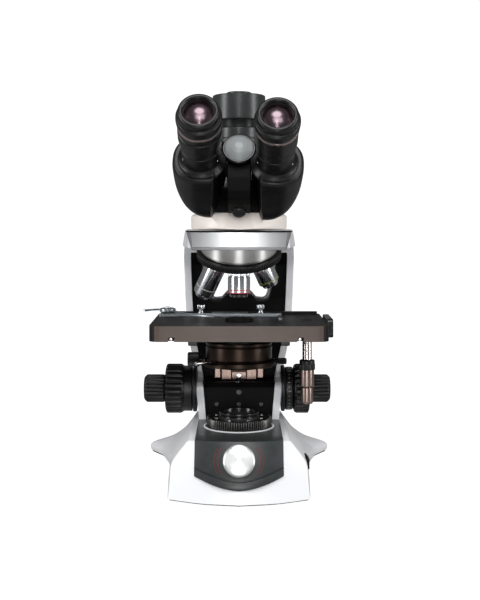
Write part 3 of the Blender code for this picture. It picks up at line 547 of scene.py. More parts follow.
BASE_TOP = 57.5
BASE_WALL = 2.2
DECK_TOP = 59.0
PANEL_HALF_WIDTH = 43.5
PANEL_STANDS_OUT = 1.5
PANEL_COLUMNS = 41
PORT_RADIUS = 20.5
RING_RADIUS = 33.8
RING_RIBS = 84
ROCKER_DISH = 3.44
ROCKER_WINDOW = ((60.0, -48.3, 23.7), (90.0, -27.7, 36.3))
INLET_WINDOW = ((-14.3, 100.0, 15.7), (14.3, 170.0, 38.3))

# Height, then the half plan outline from the front, round the side, to the back
BASE_PLAN = (
    (2.5, [(0, -99), (36, -93.2), (70, -76), (74, 0), (77, 70), (88, 118), (105, 148), (102, 160),
           (0, 162.5)]),
    (10.0, [(0, -97), (36, -91), (69, -75), (73, 0), (76, 70), (87, 118), (104, 147), (101, 159), (0, 162)]),
    (21.0, [(0, -94), (35, -88), (68, -73), (71, 0), (70, 66), (75, 112), (79, 136), (75, 148), (0, 150)]),
    (37.0, [(0, -88), (33, -83), (66, -69), (67, 0), (63, 60), (62, 100), (60, 118), (57, 128), (0, 130)]),
    (BASE_TOP - 1.2, [(0, -77.4), (26, -74.4), (51.6, -66), (51.6, 0), (50, 50), (49, 80), (48, 95),
                      (44, 104), (0, 106)]),
    (BASE_TOP, [(0, -76), (26, -73), (50, -65), (50, 0), (49, 50), (48, 79), (47, 94), (43, 103), (0, 105)]),
)
BASE_RADII = (0, 90, 3, 60, 60, 60, 14, 10, 0)


def base_outline(half):
    """The whole plan outline of the base: a half and its mirror image across X = 0, with rounded corners."""
    closed = half + [(-x, y) for x, y in half[-2:0:-1]]
    return rounded(closed, BASE_RADII + BASE_RADII[-2:0:-1], arc=8)


def blend_sections(sections, pieces=4):
    """Add sections between the given ones, so that the skin curves smoothly upwards."""
    result = []
    padded = [sections[0]] + sections + [sections[-1]]
    for a, b, c, d in zip(padded, padded[1:], padded[2:], padded[3:]):
        for k in range(pieces):
            t = k / pieces
            ring = []
            for p, q, r, s in zip(a, b, c, d):
                p, q, r, s = Vector(p), Vector(q), Vector(r), Vector(s)
                slope_in = (r - p) * (0.5 * t * (1 - t) ** 2)
                slope_out = (s - q) * (0.5 * t * t * (1 - t))
                between = q * (1 + 2 * t) * (1 - t) ** 2 + r * t * t * (3 - 2 * t)
                ring.append(tuple(between + slope_in - slope_out))
            result.append(ring)
    return result + [sections[-1]]


def make_base_shell():
    """The white moulding of the base: a hollow shell with its port, dial hole and two windows."""
    sections = [[(x, y, z) for x, y in base_outline(half)] for z, half in BASE_PLAN]
    body = blend_sections(sections[:-1]) + [sections[-1]]
    shell = piece("base_housing", loft(body), WHITE, "root", ["base_shell"], sharp=30)
    hollow = [[(x * 0.94, y * 0.955, min(z - BASE_WALL, BASE_TOP - 3)) for x, y, z in ring] for ring in body]
    hollow[0] = [(x, y, -3.0) for x, y, _ in hollow[0]]
    carve(shell, loft(hollow))
    carve(shell, cylinder(PORT_RADIUS + 1.5, 70, 45))
    carve(shell, cylinder(9, 20, -20, 48), DIAL)
    carve(shell, block(*ROCKER_WINDOW))
    carve(shell, block(*INLET_WINDOW))


def front_depth(x, z):
    """How far the front of the base stands out towards -Y at a place on it."""
    heights = [(height, -half[0][1]) for height, half in BASE_PLAN[:-1]]
    for (z0, y0), (z1, y1) in zip(heights, heights[1:]):
        if z <= z1:
            break
    t = (z - z0) / (z1 - z0)
    return y0 + (y1 - y0) * min(max(t, 0.0), 1.15) - 0.0046 * x * x


def panel_low(x):
    """Height of the curved lower edge of the front panel."""
    return 15.5 + 11.5 * (abs(x) / PANEL_HALF_WIDTH) ** 1.7


def panel_column(x):
    """Points down the panel at one place across it: deck, crease, sloping front, groove and lip."""
    out = PANEL_STANDS_OUT
    crease = front_depth(x, 57.0) + out
    points = [(36.0, BASE_TOP - 0.5), (36.0, DECK_TOP - 0.5), (35.4, DECK_TOP)]
    points += [(y, DECK_TOP) for y in (10.0, -20.0, -45.0)]
    points += [(2.6 - crease, DECK_TOP), (1.0 - crease, DECK_TOP - 0.35), (0.1 - crease, DECK_TOP - 1.5)]
    low = panel_low(x)
    groove = low + 8.2
    for z in (52.0, 45.0, 38.0, 31.0):
        height = max(z, groove + 1.2)
        points.append((-front_depth(x, height) - out, height))
    for z, depth in ((groove + 0.9, out), (groove + 0.5, out - 1.0), (groove - 0.5, out - 1.0),
                     (groove - 0.9, out + 0.25), (low + 4.0, out + 0.5), (low + 1.0, out + 0.3),
                     (low + 0.1, out - 0.2), (low, -0.8)):
        points.append((-front_depth(x, z) - depth, z))
    return points


def make_front_panel():
    """One black moulding that wraps from the deck over the crease and down the front."""
    bm = bmesh.new()
    outer, inner = [], []
    for k in range(PANEL_COLUMNS):
        x = PANEL_HALF_WIDTH * (2 * k / (PANEL_COLUMNS - 1) - 1)
        outer.append([bm.verts.new((x, y, z)) for y, z in panel_column(x)])
        column = [(y + (1.6 if y < -70 else 0.0), min(z, BASE_TOP) - 0.4) for y, z in panel_column(x)]
        inner.append([bm.verts.new((x * 0.985, y, z)) for y, z in column])
    skin(bm, outer)
    skin(bm, inner)
    for end in (0, -1):
        skin(bm, [outer[end], inner[end]])
        skin(bm, [[line[end] for line in outer], [line[end] for line in inner]])
    panel = piece("front_moulding", bm, PANEL_BLACK, "root", ["front_panel", "deck_plate"], sharp=60)
    carve(panel, cylinder(PORT_RADIUS + 1.0, 70, 45))
    carve(panel, cylinder(7, 3, -20, 48), DIAL)


def panel_arc(name, radius, width, start, stop):
    """A printed red arc round the dial, lying on the sloping front panel."""
    bm = bmesh.new()
    rows = []
    dial_height = JOINTS["dial_turn"]["pos_m"][2] / MM
    for k in range(25):
        angle = math.radians(start + (stop - start) * k / 24)
        corners = []
        for r in (radius, radius + width):
            x = r * math.cos(angle)
            z = dial_height + r * 0.93 * math.sin(angle)
            y = -front_depth(x, z) - PANEL_STANDS_OUT
            corners += [bm.verts.new((x, y - 0.12, z)), bm.verts.new((x, y + 0.3, z))]
        rows.append([corners[0], corners[2], corners[3], corners[1]])
    for a, b in zip(rows, rows[1:]):
        join_rings(bm, a, b)
    bm.faces.new(rows[0])
    bm.faces.new(rows[-1])
    piece(name, bm, RED_LINE, "root", sharp=30)


def make_dial():
    """The brightness dial and the two pairs of red arcs beside it."""
    profile = [(0.0, 8.7), (6.0, 8.62), (10.0, 8.45), (13.6, 8.1), (15.5, 6.6), (15.5, 0.9), (14.0, 0.5),
               (6.0, 0.5), (6.0, -12.0), (0.0, -12.0)]
    piece("brightness_knob", lathe(profile, 128, fillet=1.0), DIAL_METAL, "dial", ["brightness_dial"], DIAL)
    for side, start in (("right", -38.0), ("left", 142.0)):
        panel_arc(f"red_arc_{side}", 20.2, 1.0, start, start + 76.0)
        panel_arc(f"red_arc_outer_{side}", 23.6, 0.8, start + 8.0, start + 68.0)


def make_diaphragm_ring():
    """The knurled ring round the lamp and its white rim."""
    rim = [(37.0, DECK_TOP - 0.8), (37.0, DECK_TOP + 0.5), (35.2, DECK_TOP + 0.8), (34.4, DECK_TOP - 0.8)]
    piece("ring_rim", lathe(rim + rim[:1], 128, fillet=0), WHITE, "root")
    low = DECK_TOP + 0.3
    profile = [(21.2, 66.0), (22.0, 68.2), (27.5, 69.0), (31.6, 69.2), (RING_RADIUS, 68.6),
               (RING_RADIUS, low + 0.6), (33.0, low), (21.2, low), (21.2, 66.0)]
    bm = lathe(profile, RING_RIBS * 8, RING_RIBS, depth=1.5, span=(59.6, 68.9), fillet=0.3, sharpness=1.4)
    ring = piece("diaphragm_ring", bm, BLACK, "field_ring", ["field_ring"])
    paint_faces(ring, KNURL_METAL,
                lambda centre, normal: centre.xy.length > RING_RADIUS - 2.0 and abs(normal.z) < 0.5)


def make_lamp():
    """The lamp barrel, the screws of the ring round it and the collector lens."""
    profile = [(17.6, 72.0), (18.4, 74.6), (20.5, 74.6), (20.5, 72.2), (19.7, 71.6), (20.5, 71.0),
               (20.5, 46.0), (17.6, 46.0), (17.6, 72.0)]
    piece("lamp_barrel", lathe(profile, fillet=0.3), GLOSS_BLACK, "root", ["lamp_house"])
    for k in range(8):
        place = STAND @ turn(45 * k + 22) @ Matrix.Translation((25.0, 0, 68.4))
        screw_head(f"diaphragm_screw_{k}", 1.9, place, "field_ring", STEEL)
    dome = [(0, 73.8), (5.0, 73.6), (9.0, 73.0), (13.0, 72.0), (17.2, 70.6), (17.2, 68.0), (0, 68.0)]
    piece("collector_lens", lathe(dome, 96, fillet=0.2), DARK_LENS, "root", ["field_lens"])


def make_rocker():
    """The power rocker in its bezel on the right side of the base."""
    at = axis_frame(JOINTS["rocker_tilt"]["pos_m"], (1, 0, 0), across=(0, 1, 0))
    key = piece("rocker_key", slab(rectangle((-9.3, -5.4), (9.3, 5.4), 1.2), -2.6, 2.0), BLACK, "rocker",
                ["power_rocker"], at, bevel=0.5)
    carve(key, slab(rectangle((-30, -9), (30, 9), 0), 1.2, 8.0), at @ turn(ROCKER_DISH, "Y"))
    bezel = piece("rocker_bezel", slab(rectangle((-10.9, -6.9), (10.9, 6.9), 1.8), -5.0, -0.5), MATT_BLACK,
                  "root", (), at)
    carve(bezel, slab(rectangle((-9.9, -5.9), (9.9, 5.9), 1.3), -9, 9), at)


def make_mains_inlet():
    """The inlet at the back, with its keyed throat and three flat pins."""
    mouth = rectangle((-13.6, 16.3), (13.6, 37.7), 3)
    inlet = piece("mains_inlet", slab(mouth, 108.0, 141.0, "Y"), MATT_BLACK, "root", ["power_socket"])
    throat = [(-12.0, 19.0), (12.0, 19.0), (12.0, 31.0), (7.5, 35.2), (-7.5, 35.2), (-12.0, 31.0)]
    carve(inlet, slab(rounded(throat, [1.5] * 6), 124.0, 160.0, "Y"))
    for number, (x, z) in enumerate(((-7.0, 26.5), (0.0, 30.0), (7.0, 26.5))):
        pin = rectangle((x - 1.0, z - 2.0), (x + 1.0, z + 2.0), 0.5)
        piece(f"inlet_pin_{number}", slab(pin, 123.0, 137.0, "Y"), CHROME, "root", bevel=0.2)


def make_underside():
    """The cover under the base and its four rubber feet."""
    # The cover is a real part; its matt black edge shows below the white shell as a thin dark line, which also
    # stands in for the painted shade where the base meets the floor.
    outline = base_outline([(x - 1.6 if x else 0, y * 0.982) for x, y in BASE_PLAN[0][1]])
    piece("bottom_cover", slab(outline, 1.1, 3.4), MATT_BLACK, "root", ["base_plate"], bevel=0.4)
    for k in range(1, 5):
        low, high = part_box(f"foot_{k}")
        centre = ((low[0] + high[0]) / 2, (low[1] + high[1]) / 2, 0.0)
        at = axis_frame(centre, (0, 0, 1))
        profile = [(0, 2.6), (7.0, 2.6), (8.9, 1.8), (8.4, 0.0), (3.4, 0.0), (2.8, 0.8), (0, 0.8)]
        piece(f"rubber_foot_{k}", lathe(profile, 48, fillet=0.4), RUBBER, "root", [f"foot_{k}"], at)


# -------------------------------------------------------------------------- arm

ARM_UNDERSIDE = 246.5
FASCIA_FRONT = -45.0


def dress_arm():
    """The arm keeps its CAD solids, with their edges softened, and gets the screws in its front."""
    for name, width in (("arm_shell", 1.4), ("arm_core", 0.8)):
        add_bevel(frame["nodes"][name], width, 32.0)
    frame["nodes"]["arm_core"].data.materials[0] = MATT_BLACK
    screws = ((0.0, 88.0, 3.0), (0.0, 75.0, 2.2), (-24.0, 75.0, 2.2), (24.0, 75.0, 2.2))
    for number, (x, z, radius) in enumerate(screws):
        screw_head(f"core_screw_{number}", radius, facing_front(x, 38.0, z), "root", SCREW_GREY)


def make_fascia():
    """The brushed band, the grey border behind it and the dark seam along the top."""
    front = FASCIA_FRONT
    band = slab(trapezium(47.0, 48.6, 247.2, 262.4, 0.6), front - 3.5, front + 1.2, "Y")
    piece("fascia", band, FASCIA_METAL, "root", ["fascia_band"], bevel=0.4)
    border = slab(trapezium(47.4, 52.8, 244.4, 262.6, 0.8), front - 2.6, front + 6.0, "Y")
    piece("fascia_border", border, GREY_METAL, "root", bevel=0.5)
    seam = slab(trapezium(53.4, 53.4, 262.7, 263.9, 0.5), front - 3.3, front + 6.0, "Y")
    piece("fascia_seam", seam, MATT_BLACK, "root", bevel=0.3)


# -------------------------------------------------------------------- nosepiece

TURRET_TILT = 23.2
SHOULDER = 57.0
# Station on the turret, length below the shoulder, barrel radius, tip radius, band finish, drops of the bands
OBJECTIVES = {
    "4x": (0.0, 27.0, 11.6, 9.8, RED_BAND, (19.0, 22.0)),
    "10x": (90.0, 29.0, 11.2, 9.2, YELLOW_BAND, (21.0,)),
    "40x": (180.0, 43.0, 11.2, 8.4, BLUE_BAND, (27.0,)),
    "100x": (270.0, 44.0, 11.2, 8.4, WHITE_MARK, (31.0,)),
}


def make_bowl():
    profile = [(0, -2.0), (41.0, -2.0), (41.0, -35.0), (39.6, -37.5), (0, -37.5)]
    bowl = piece("nosepiece_bowl", lathe(profile, 160, fillet=1.2), ALUMINIUM, "root", ["nosepiece_housing"],
                 TURRET)
    carve(bowl, block((-80, -80, ARM_UNDERSIDE - 0.4), (80, 80, 330)))


def make_turret():
    """The turret with its knurled ring, a seat bored for each objective, and the objectives."""
    profile = [(0, -38.0), (43.6, -38.0), (45.0, -38.9), (45.0, -44.2), (43.6, -45.2), (40.6, -46.2),
               (33.0, -51.0), (10.0, -54.5), (0, -54.5)]
    bm = lathe(profile, 480, ribs=96, depth=0.9, span=(-44.6, -38.6), fillet=0.4, sharpness=0.7)
    turret = piece("nosepiece_turret", bm, BLACK, "turret", ["turret_ring"], TURRET)
    seat = [(0, -30), (10.4, -30), (10.4, -SHOULDER), (12.7, -SHOULDER), (12.7, -80), (0, -80)]
    for station, *_ in OBJECTIVES.values():
        carve(turret, lathe(seat, 48, fillet=0), objective_frame(station))
    for power, (station, *sizes) in OBJECTIVES.items():
        make_objective(power, objective_frame(station), *sizes)
    cap = TURRET @ Matrix.Translation((0, 0, -54.5)) @ turn(180, "X")
    screw_head("turret_cap_screw", 4.0, cap, "turret", CHROME)


def objective_frame(station):
    return TURRET @ turn(station) @ turn(-TURRET_TILT, "X")


def make_objective(power, at, length, radius, tip, band_finish, drops):
    """A turned barrel with a coin-edged collar, printed bands and a stepped nose with a front lens."""
    top = -SHOULDER - 0.3
    end = -SHOULDER - length
    knee = end + 4.6
    profile = [(0, top + 7.3), (10.0, top + 7.3), (10.0, top + 0.3), (radius, top + 0.3), (radius, top - 4.0),
               (radius - 0.7, top - 4.3), (radius - 0.7, top - 5.3), (radius, top - 5.6), (radius, knee),
               (radius - 0.8, knee - 0.9), (tip + 0.6, end + 3.2), (tip, end + 2.6), (tip - 0.6, end),
               (tip - 2.6, end), (tip - 3.2, end + 1.2), (0, end + 1.2)]
    bm = lathe(profile, 192, ribs=64, depth=0.35, span=(top - 4.0, top + 0.2), fillet=0.35)
    piece(f"barrel_{power}", bm, CHROME, "turret", [f"objective_{power}"], at)
    for number, drop in enumerate(drops):
        z = top - drop
        r = radius + 0.12 if z > knee else radius - 0.3
        bm = lathe([(r - 1.0, z + 0.5), (r, z + 0.5), (r, z - 0.5), (r - 1.0, z - 0.5)], fillet=0.1)
        piece(f"objective_{power}_band_{number}", bm, band_finish, "turret", (), at)
    lens = [(0, end + 0.5), (tip - 3.6, end + 1.0), (tip - 3.4, end + 1.6), (0, end + 1.6)]
    piece(f"objective_{power}_front_lens", lathe(lens, 48, fillet=0), LENS, "turret", (), at)


# ------------------------------------------------------------------ focus drive

KNOB_STEPS = 384
TENSION_MARKS = 30


def make_coarse_knobs():
    left = [(8.0, -80.2), (22.0, -80.2), (24.6, -79.6), (26.8, -78.2), (26.8, -63.0), (25.4, -61.0),
            (25.2, -60.6), (24.6, -59.6), (24.6, -51.0), (8.0, -50.6), (8.0, -80.2)]
    right = [(8.0, 77.0), (21.0, 77.0), (24.6, 76.4), (26.8, 75.2), (26.8, 62.6), (25.6, 60.4), (22.5, 59.2),
             (8.0, 59.0), (8.0, 77.0)]
    for side, profile, span in (("left", left, (-79.4, -62.0)), ("right", right, (61.5, 76.0))):
        bm = lathe(profile, KNOB_STEPS, ribs=24, depth=1.8, span=span, fillet=0.6, sharpness=2.5)
        piece(f"coarse_knob_{side}", bm, BLACK, "coarse", [f"{side}_coarse_knob"], FOCUS)


def make_fine_knobs():
    for side, inner, outer in (("left", -80.6, -103.8), ("right", 77.6, 99.8)):
        out = math.copysign(1.0, outer)
        profile = [(0, outer), (11.8, outer), (13.4, outer - 1.2 * out), (15.2, outer - 3.4 * out),
                   (15.2, inner + 2.0 * out), (14.0, inner), (5.0, inner), (5.0, inner + 3.0 * out),
                   (0, inner + 3.0 * out)]
        span = sorted((outer - 2.5 * out, inner + 1.5 * out))
        bm = lathe(profile, KNOB_STEPS, ribs=20, depth=1.3, span=span, fillet=0.6, sharpness=2.0)
        piece(f"fine_knob_{side}", bm, BLACK, "fine", [f"{side}_fine_knob"], FOCUS)


def make_tension_ring():
    """The collar beside the right knob, with fine raised marks round it; every fifth mark is longer."""
    profile = [(9.3, 58.6), (22.4, 58.6), (23.4, 57.8), (23.4, 51.2), (22.6, 50.4), (9.3, 50.4), (9.3, 58.6)]
    piece("tension_collar", lathe(profile, 128), BLACK, "tension", ["tension_ring"], FOCUS)
    bm = bmesh.new()
    for k in range(TENSION_MARKS):
        length = 3.2 if k % 5 == 0 else 1.92
        place = turn(360 * k / TENSION_MARKS) @ Matrix.Translation((23.45, 0, 53.2 + length / 2))
        size = Matrix.Diagonal((0.16, 0.24, length, 1.0))
        bmesh.ops.create_cube(bm, size=1.0, matrix=place @ size)
    piece("tension_marks", bm, WHITE_MARK, "tension", (), FOCUS)


def make_focus_shafts():
    """The hollow coarse shaft, the fine shaft inside it and the two bosses in which they turn."""
    sleeve = [(4.6, 62.0), (7.5, 62.0), (7.5, -60.0), (4.6, -60.0), (4.6, 62.0)]
    piece("coarse_sleeve", lathe(sleeve, 64, fillet=0.4), STEEL, "coarse", ["coarse_tube"], FOCUS)
    spindle = [(0, 79.0), (4.0, 79.0), (4.0, -82.0), (0, -82.0)]
    piece("fine_spindle", lathe(spindle, 48), STEEL, "fine", ["fine_shaft"], FOCUS)
    for side, sign, outer, radius in (("left", -1.0, -50.0, 25.4), ("right", 1.0, 49.9, 25.0)):
        inner = 45.8 * sign
        profile = [(9.4, outer), (radius, outer), (radius, inner + sign), (radius - 1.0, inner), (9.4, inner),
                   (9.4, outer)]
        piece(f"focus_boss_{side}", lathe(profile), BLACK, "root", (), FOCUS)


# ------------------------------------------------------------------------ stage

STAGE_TOP = 170.5
STAGE_SEAM = 160.4
STAGE_BOTTOM = 155.0
HOLDER_Z = STAGE_TOP + 0.3
STOP_PLACES = {"left": -67.0, "right": 60.0}


def make_stage_plate():
    """The upper plate: hollow below, with its slot, the ridge at the back and a notch for each stop."""
    outline = rectangle((-89.0, -70.0), (89.0, 73.0), 12, upper=10, arc=10)
    top = piece("stage_plate", slab(outline, STAGE_BOTTOM, STAGE_TOP), STAGE, "stage_top", ["stage_upper"])
    carve(top, block((-84.0, -65.0, 140.0), (84.0, 90.0, STAGE_SEAM)))
    carve(top, slab(rectangle((-14.5, -38.0), (14.5, 27.0), 14.4, arc=12), 150.0, 180.0))
    join(top, block((-86.0, 58.0, 169.0), (86.0, 66.0, 173.5)))
    carve(top, cylinder(5.4, 180, 150, 48), joint_frame("y_drive_turn"))
    for x in STOP_PLACES.values():
        notch = rounded([(x - 4.0, 150.0), (x + 2.0, 150.0), (x + 4.0, 159.4), (x - 2.0, 159.4)], [0.5] * 4)
        carve(top, slab(notch, -80.0, -62.0, "Y"))
    # The front faces of the plate are painted a lighter warm brown: a painted warm highlight.
    paint_faces(top, STAGE_FRONT_HIGHLIGHT, lambda centre, normal: normal.y < -0.93 and centre.y < -60.0)
    add_bevel(top, 1.0)
    guard = rectangle((-38.0, 155.5), (22.0, 174.5), 3.0, upper=5.0)
    piece("drive_guard", slab(guard, 89.2, 95.5, "X"), GLOSS_BLACK, "stage_top", bevel=1.0)


def make_stage_stops():
    for side, x in STOP_PLACES.items():
        screw_head(f"stage_stop_{side}", 1.7, facing_front(x, -66.8, 157.6), "stage_top", STEEL, height=1.6)
        stop = block((x - 5.5, -65.2, STAGE_BOTTOM + 0.4), (x + 5.5, -64.0, STAGE_SEAM + 0.2))
        piece(f"stop_block_{side}", stop, STAGE, "stage_top", bevel=0.4)


def make_slide_plate():
    """The lower plate of the stage and the bracket that carries it."""
    outline = rectangle((-63, -43), (63, 60), 8, arc=8)
    plate = piece("stage_slide_plate", slab(outline, STAGE_BOTTOM, STAGE_SEAM - 0.3), STAGE, "lift",
                  ["stage_lower"])
    carve(plate, cylinder(32, 170, 140))
    add_bevel(plate, 0.6)
    carrier = piece("stage_bracket", block((-52.0, -30.0, 146.3), (52.0, 76.0, STAGE_BOTTOM - 0.3)), BLACK,
                    "lift", ["stage_carrier"])
    carve(carrier, block((-42.5, -50.0, 140.0), (42.5, 44.0, 160.0)))
    add_bevel(carrier, 1.2)
    for number, x in enumerate((-30.0, 0.0, 30.0)):
        screw_head(f"bracket_screw_{number}", 2.0, facing_front(x, 43.8, 150.5), "lift", STEEL)


def make_lift():
    """The dovetail slide on which the stage and the condenser ride, between its two rails."""
    plate = piece("lift_plate", block((-19.5, 64.0, 84.0), (19.5, 76.0, 146.0)), BROWN_METAL, "lift",
                  ["lift_slide"])
    carve(plate, block((-8.3, 60.0, 92.0), (8.3, 68.3, 150.0)))
    add_bevel(plate, 0.8)
    for side, x0, x1 in (("left", -27.0, -20.4), ("right", 20.4, 27.0)):
        rail = block((x0, 61.5, 99.8), (x1, 78.0, 129.6))
        piece(f"guide_rail_{side}", rail, BROWN_METAL, "root", bevel=0.8)
    screw_head("lift_plate_screw", 3.0, facing_front(0.0, 68.4, 101.2), "lift", CHROME)


def make_stage_drive():
    """The shaft that hangs below the right side of the stage, with its collar and its two knobs."""
    at = joint_frame("y_drive_turn")
    profile = [(0, 168.0), (4.2, 168.0), (4.9, 167.2), (4.9, 129.6), (7.4, 128.9), (8.0, 128.0), (8.0, 122.4),
               (7.2, 121.4), (3.0, 121.3), (3.0, 101.3), (0, 101.3)]
    shaft = piece("drive_spindle", lathe(profile, 64, fillet=0.3), STEEL, "y_drive", ["drive_shaft"], at)
    paint_faces(shaft, BLACK, lambda centre, normal: centre.z < 129.4)
    grip = [(3.3, 120.6), (6.4, 121.0), (7.3, 120.2), (7.3, 102.0), (6.5, 101.0), (3.3, 101.0), (3.3, 120.6)]
    piece("y_drive_knob", lathe(grip, fillet=0.4), PINK_STEEL, "y_drive", ["y_knob"], at)
    grip = [(0, 100.7), (5.6, 100.7), (6.3, 100.0), (6.3, 85.2), (5.4, 83.5), (0, 83.5)]
    piece("x_drive_knob", lathe(grip, fillet=0.4), PINK_STEEL, "x_drive", ["x_knob"],
          joint_frame("x_drive_turn"))
    collar = [(5.0, 125.0), (8.0, 125.0), (8.4, 124.4), (8.4, 119.4), (7.8, 118.8), (5.0, 118.8),
              (5.0, 125.0)]
    bm = lathe(collar, 192, ribs=32, depth=0.4, span=(119.2, 124.6), fillet=0.2)
    piece("drive_collar", bm, BLACK, "y_drive", (), at)
    hanger = slab(rectangle((-13.0, -11.0), (9.0, 11.0), 4), STAGE_BOTTOM + 0.4, STAGE_SEAM - 0.2)
    plate = piece("drive_hanger", hanger, STAGE, "stage_top", (), joint_frame("x_drive_turn"), bevel=0.6)
    carve(plate, cylinder(5.3, 170, 150, 48), joint_frame("x_drive_turn"))


def make_slide_holder():
    """The bar with its carriage and fixed arm, and the two thumbscrews on it."""
    bar = slab(rectangle((-86.0, 31.5), (46.0, 38.5), 2.0), HOLDER_Z, HOLDER_Z + 3.0)
    holder = piece("holder_bar", bar, SATIN, "specimen", ["slide_holder"])
    carriage = rectangle((-30.0, 38.0), (10.0, 57.5), 3.0)
    join(holder, slab(carriage, HOLDER_Z + 0.2, HOLDER_Z + 2.6))
    arm = rectangle((41.0, -12.0), (45.0, 34.0), 1.6, upper=0.5)
    join(holder, slab(arm, HOLDER_Z, HOLDER_Z + 2.0))
    add_bevel(holder, 0.5)
    profile = [(0, 9.3), (3.2, 9.3), (3.9, 8.8), (3.9, 4.8), (2.2, 4.2), (2.2, 1.6), (3.4, 1.2), (3.4, 0.0),
               (0, 0)]
    for side, x in (("left", -41.0), ("right", 23.5)):
        at = STAND @ Matrix.Translation((x, 35.0, HOLDER_Z + 3.0))
        bm = lathe(profile, 128, ribs=32, depth=0.3, span=(4.7, 8.9), fillet=0.2)
        piece(f"holder_screw_{side}", bm, CHROME, "specimen", [f"thumbscrew_{side}"], at)


def make_slide_finger():
    """The sprung finger: a turned pivot with a curved arm and a short lever."""
    at = axis_frame(JOINTS["finger_swing"]["pos_m"], (0, 0, 1))
    profile = [(0, 4.2), (6.6, 4.2), (7.4, 3.7), (8.6, 3.5), (8.6, 0.0), (0, 0)]
    finger = piece("holder_finger", lathe(profile, fillet=0.3), SATIN, "finger", ["slide_finger"], at)
    arm = smooth_curve([(5, 2), (13, -24), (24, -44), (40, -60), (52, -66)])
    join(finger, strip(arm, 1.5, 0.4, 2.0), at)
    lever = smooth_curve([(-4, 4), (-13, 2), (-20, -4), (-25, -12)])
    join(finger, strip(lever, 1.6, 1.2, 3.0), at)
    add_bevel(finger, 0.4)
    screw_head("finger_pivot_screw", 3.2, at @ Matrix.Translation((0, 0, 4.2)), "finger", CHROME)


def strip(path, half_width, low, high):
    """A flat strip of even width along a path in plan."""
    points = [Vector(p) for p in path]
    left, right = [], []
    for i, point in enumerate(points):
        ahead = points[min(i + 1, len(points) - 1)] - points[max(i - 1, 0)]
        side = Vector((-ahead.y, ahead.x)).normalized() * half_width
        left.append(tuple(point + side))
        right.append(tuple(point - side))
    return slab(left + right[::-1], low, high)


# -------------------------------------------------------------------- condenser

MOUNT_RIM = 38.4


def make_condenser_mount():
    """The ring round the condenser, with the tongue at its back and the slot for the iris lever."""
    profile = [(MOUNT_RIM, 127.8), (MOUNT_RIM - 1.0, 129.0), (36.0, 129.4), (35.6, 129.0), (35.6, 123.6),
               (36.0, 123.0), (MOUNT_RIM - 0.8, 123.0), (MOUNT_RIM, 123.8), (MOUNT_RIM, 127.8)]
    mount = piece("condenser_ring", lathe(profile, 128, fillet=0.3), WARM_BLACK, "condenser",
                  ["condenser_mount"])
    join(mount, block((-14.0, 38.0, 123.0), (14.0, 63.6, 134.0)))
    join(mount, block((-8.0, 63.2, 106.0), (8.0, 66.8, 134.0)))
    carve(mount, block((-60.0, -60.0, 126.0), (-12.0, -4.0, 140.0)))


def make_condenser_body():
    profile = [(0, 150.0), (13.0, 150.0), (14.4, 149.2), (17.0, 148.8), (33.6, 148.4), (34.5, 147.6),
               (34.5, 145.2), (33.2, 144.6), (33.2, 144.0), (34.5, 143.4), (34.5, 130.6), (33.4, 129.8),
               (33.4, 124.6), (28.0, 121.2), (14.0, 121.0), (13.4, 124.0), (0, 124.0)]
    body = piece("condenser_barrel", lathe(profile, 128, fillet=0.4), WARM_BLACK, "condenser",
                 ["condenser_body"])
    carve(body, block((-50.0, -36.0, 126.5), (-12.0, -5.0, 130.5)))
    top_lens = [(0, 150.9), (6.0, 150.6), (11.6, 149.6), (11.6, 149.0), (0, 149.0)]
    piece("condenser_top_lens", lathe(top_lens, 64, fillet=0), LENS, "condenser")
    at = STAND @ turn(-52) @ Matrix.Translation((34.2, 0, 140.6)) @ turn(90, "Y")
    screw_head("condenser_set_screw", 1.6, at, "condenser", SCREW_GREY, height=0.7)


def make_condenser_controls():
    """The iris lever, the centring screw and the height knob."""
    lever = joint_frame("iris_turn", spin=215.0) @ turn(90, "Y")
    profile = [(0, 54.0), (1.6, 54.0), (2.2, 53.4), (2.2, 47.6), (1.1, 46.8), (1.1, 27.0), (0, 27.0)]
    piece("iris_handle", lathe(profile, 48, fillet=0.2), STEEL, "iris", ["iris_lever"], lever)
    joint = JOINTS["centring_turn"]
    at = axis_frame((0.0, AXIS_Y, joint["pos_m"][2]), joint["axis"], across=(0, 0, 1))
    profile = [(0, 50.5), (2.8, 50.5), (3.3, 50.0), (3.3, 41.4), (2.9, 41.0), (1.6, 41.0), (1.6, 35.0),
               (0, 35.0)]
    bm = lathe(profile, 160, ribs=32, depth=0.3, span=(41.2, 50.2), fillet=0.2)
    piece("condenser_centring_screw", bm, BLACK, "centring", ["centring_screw"], at)
    at = axis_frame(JOINTS["condenser_knob_turn"]["pos_m"], (1, 0, 0), across=(0, 1, 0))
    profile = [(0, -54.0), (6.6, -54.0), (7.6, -53.2), (7.6, -42.2), (7.0, -41.5), (2.5, -41.5), (2.5, -37.0),
               (0, -37.0)]
    bm = lathe(profile, 240, ribs=30, depth=0.7, span=(-53.0, -42.0), fillet=0.3)
    piece("condenser_focus_knob", bm, BLACK, "condenser_drive", ["condenser_knob"], at)


# ------------------------------------------------------------------------- head

TUBE_OFFSET = 39.3
TUBE_DROOP = math.radians(24.0)
TUBE_RADIUS = 18.7
EYEPIECE_LOW = 37.3
DIOPTER_TOP = 50.3
PHOTO_Y = 5.0
THREAD_PITCH = 1.2
HEAD_BASE_RADIUS = 50.0

# Height along the hinge, centre and half sizes of one prism housing
HOUSING_SECTIONS = (
    (-62.4, 25.0, -21.5, 13.5, 20.0),
    (-57.6, 27.5, -22.5, 20.0, 26.0),
    (-48.0, 30.5, -21.0, 26.0, 29.5),
    (-34.0, 33.0, -18.0, 29.0, 29.0),
    (-16.0, 34.5, -15.5, 29.5, 28.0),
    (-4.0, 35.0, -15.0, 29.0, 27.5),
    (0.0, 35.5, -15.5, 26.5, 25.5),
)
INNER_FACE = 12.8
FOLD = math.radians(14.0)
OVAL_POINTS = 72
SQUARENESS = 2.4


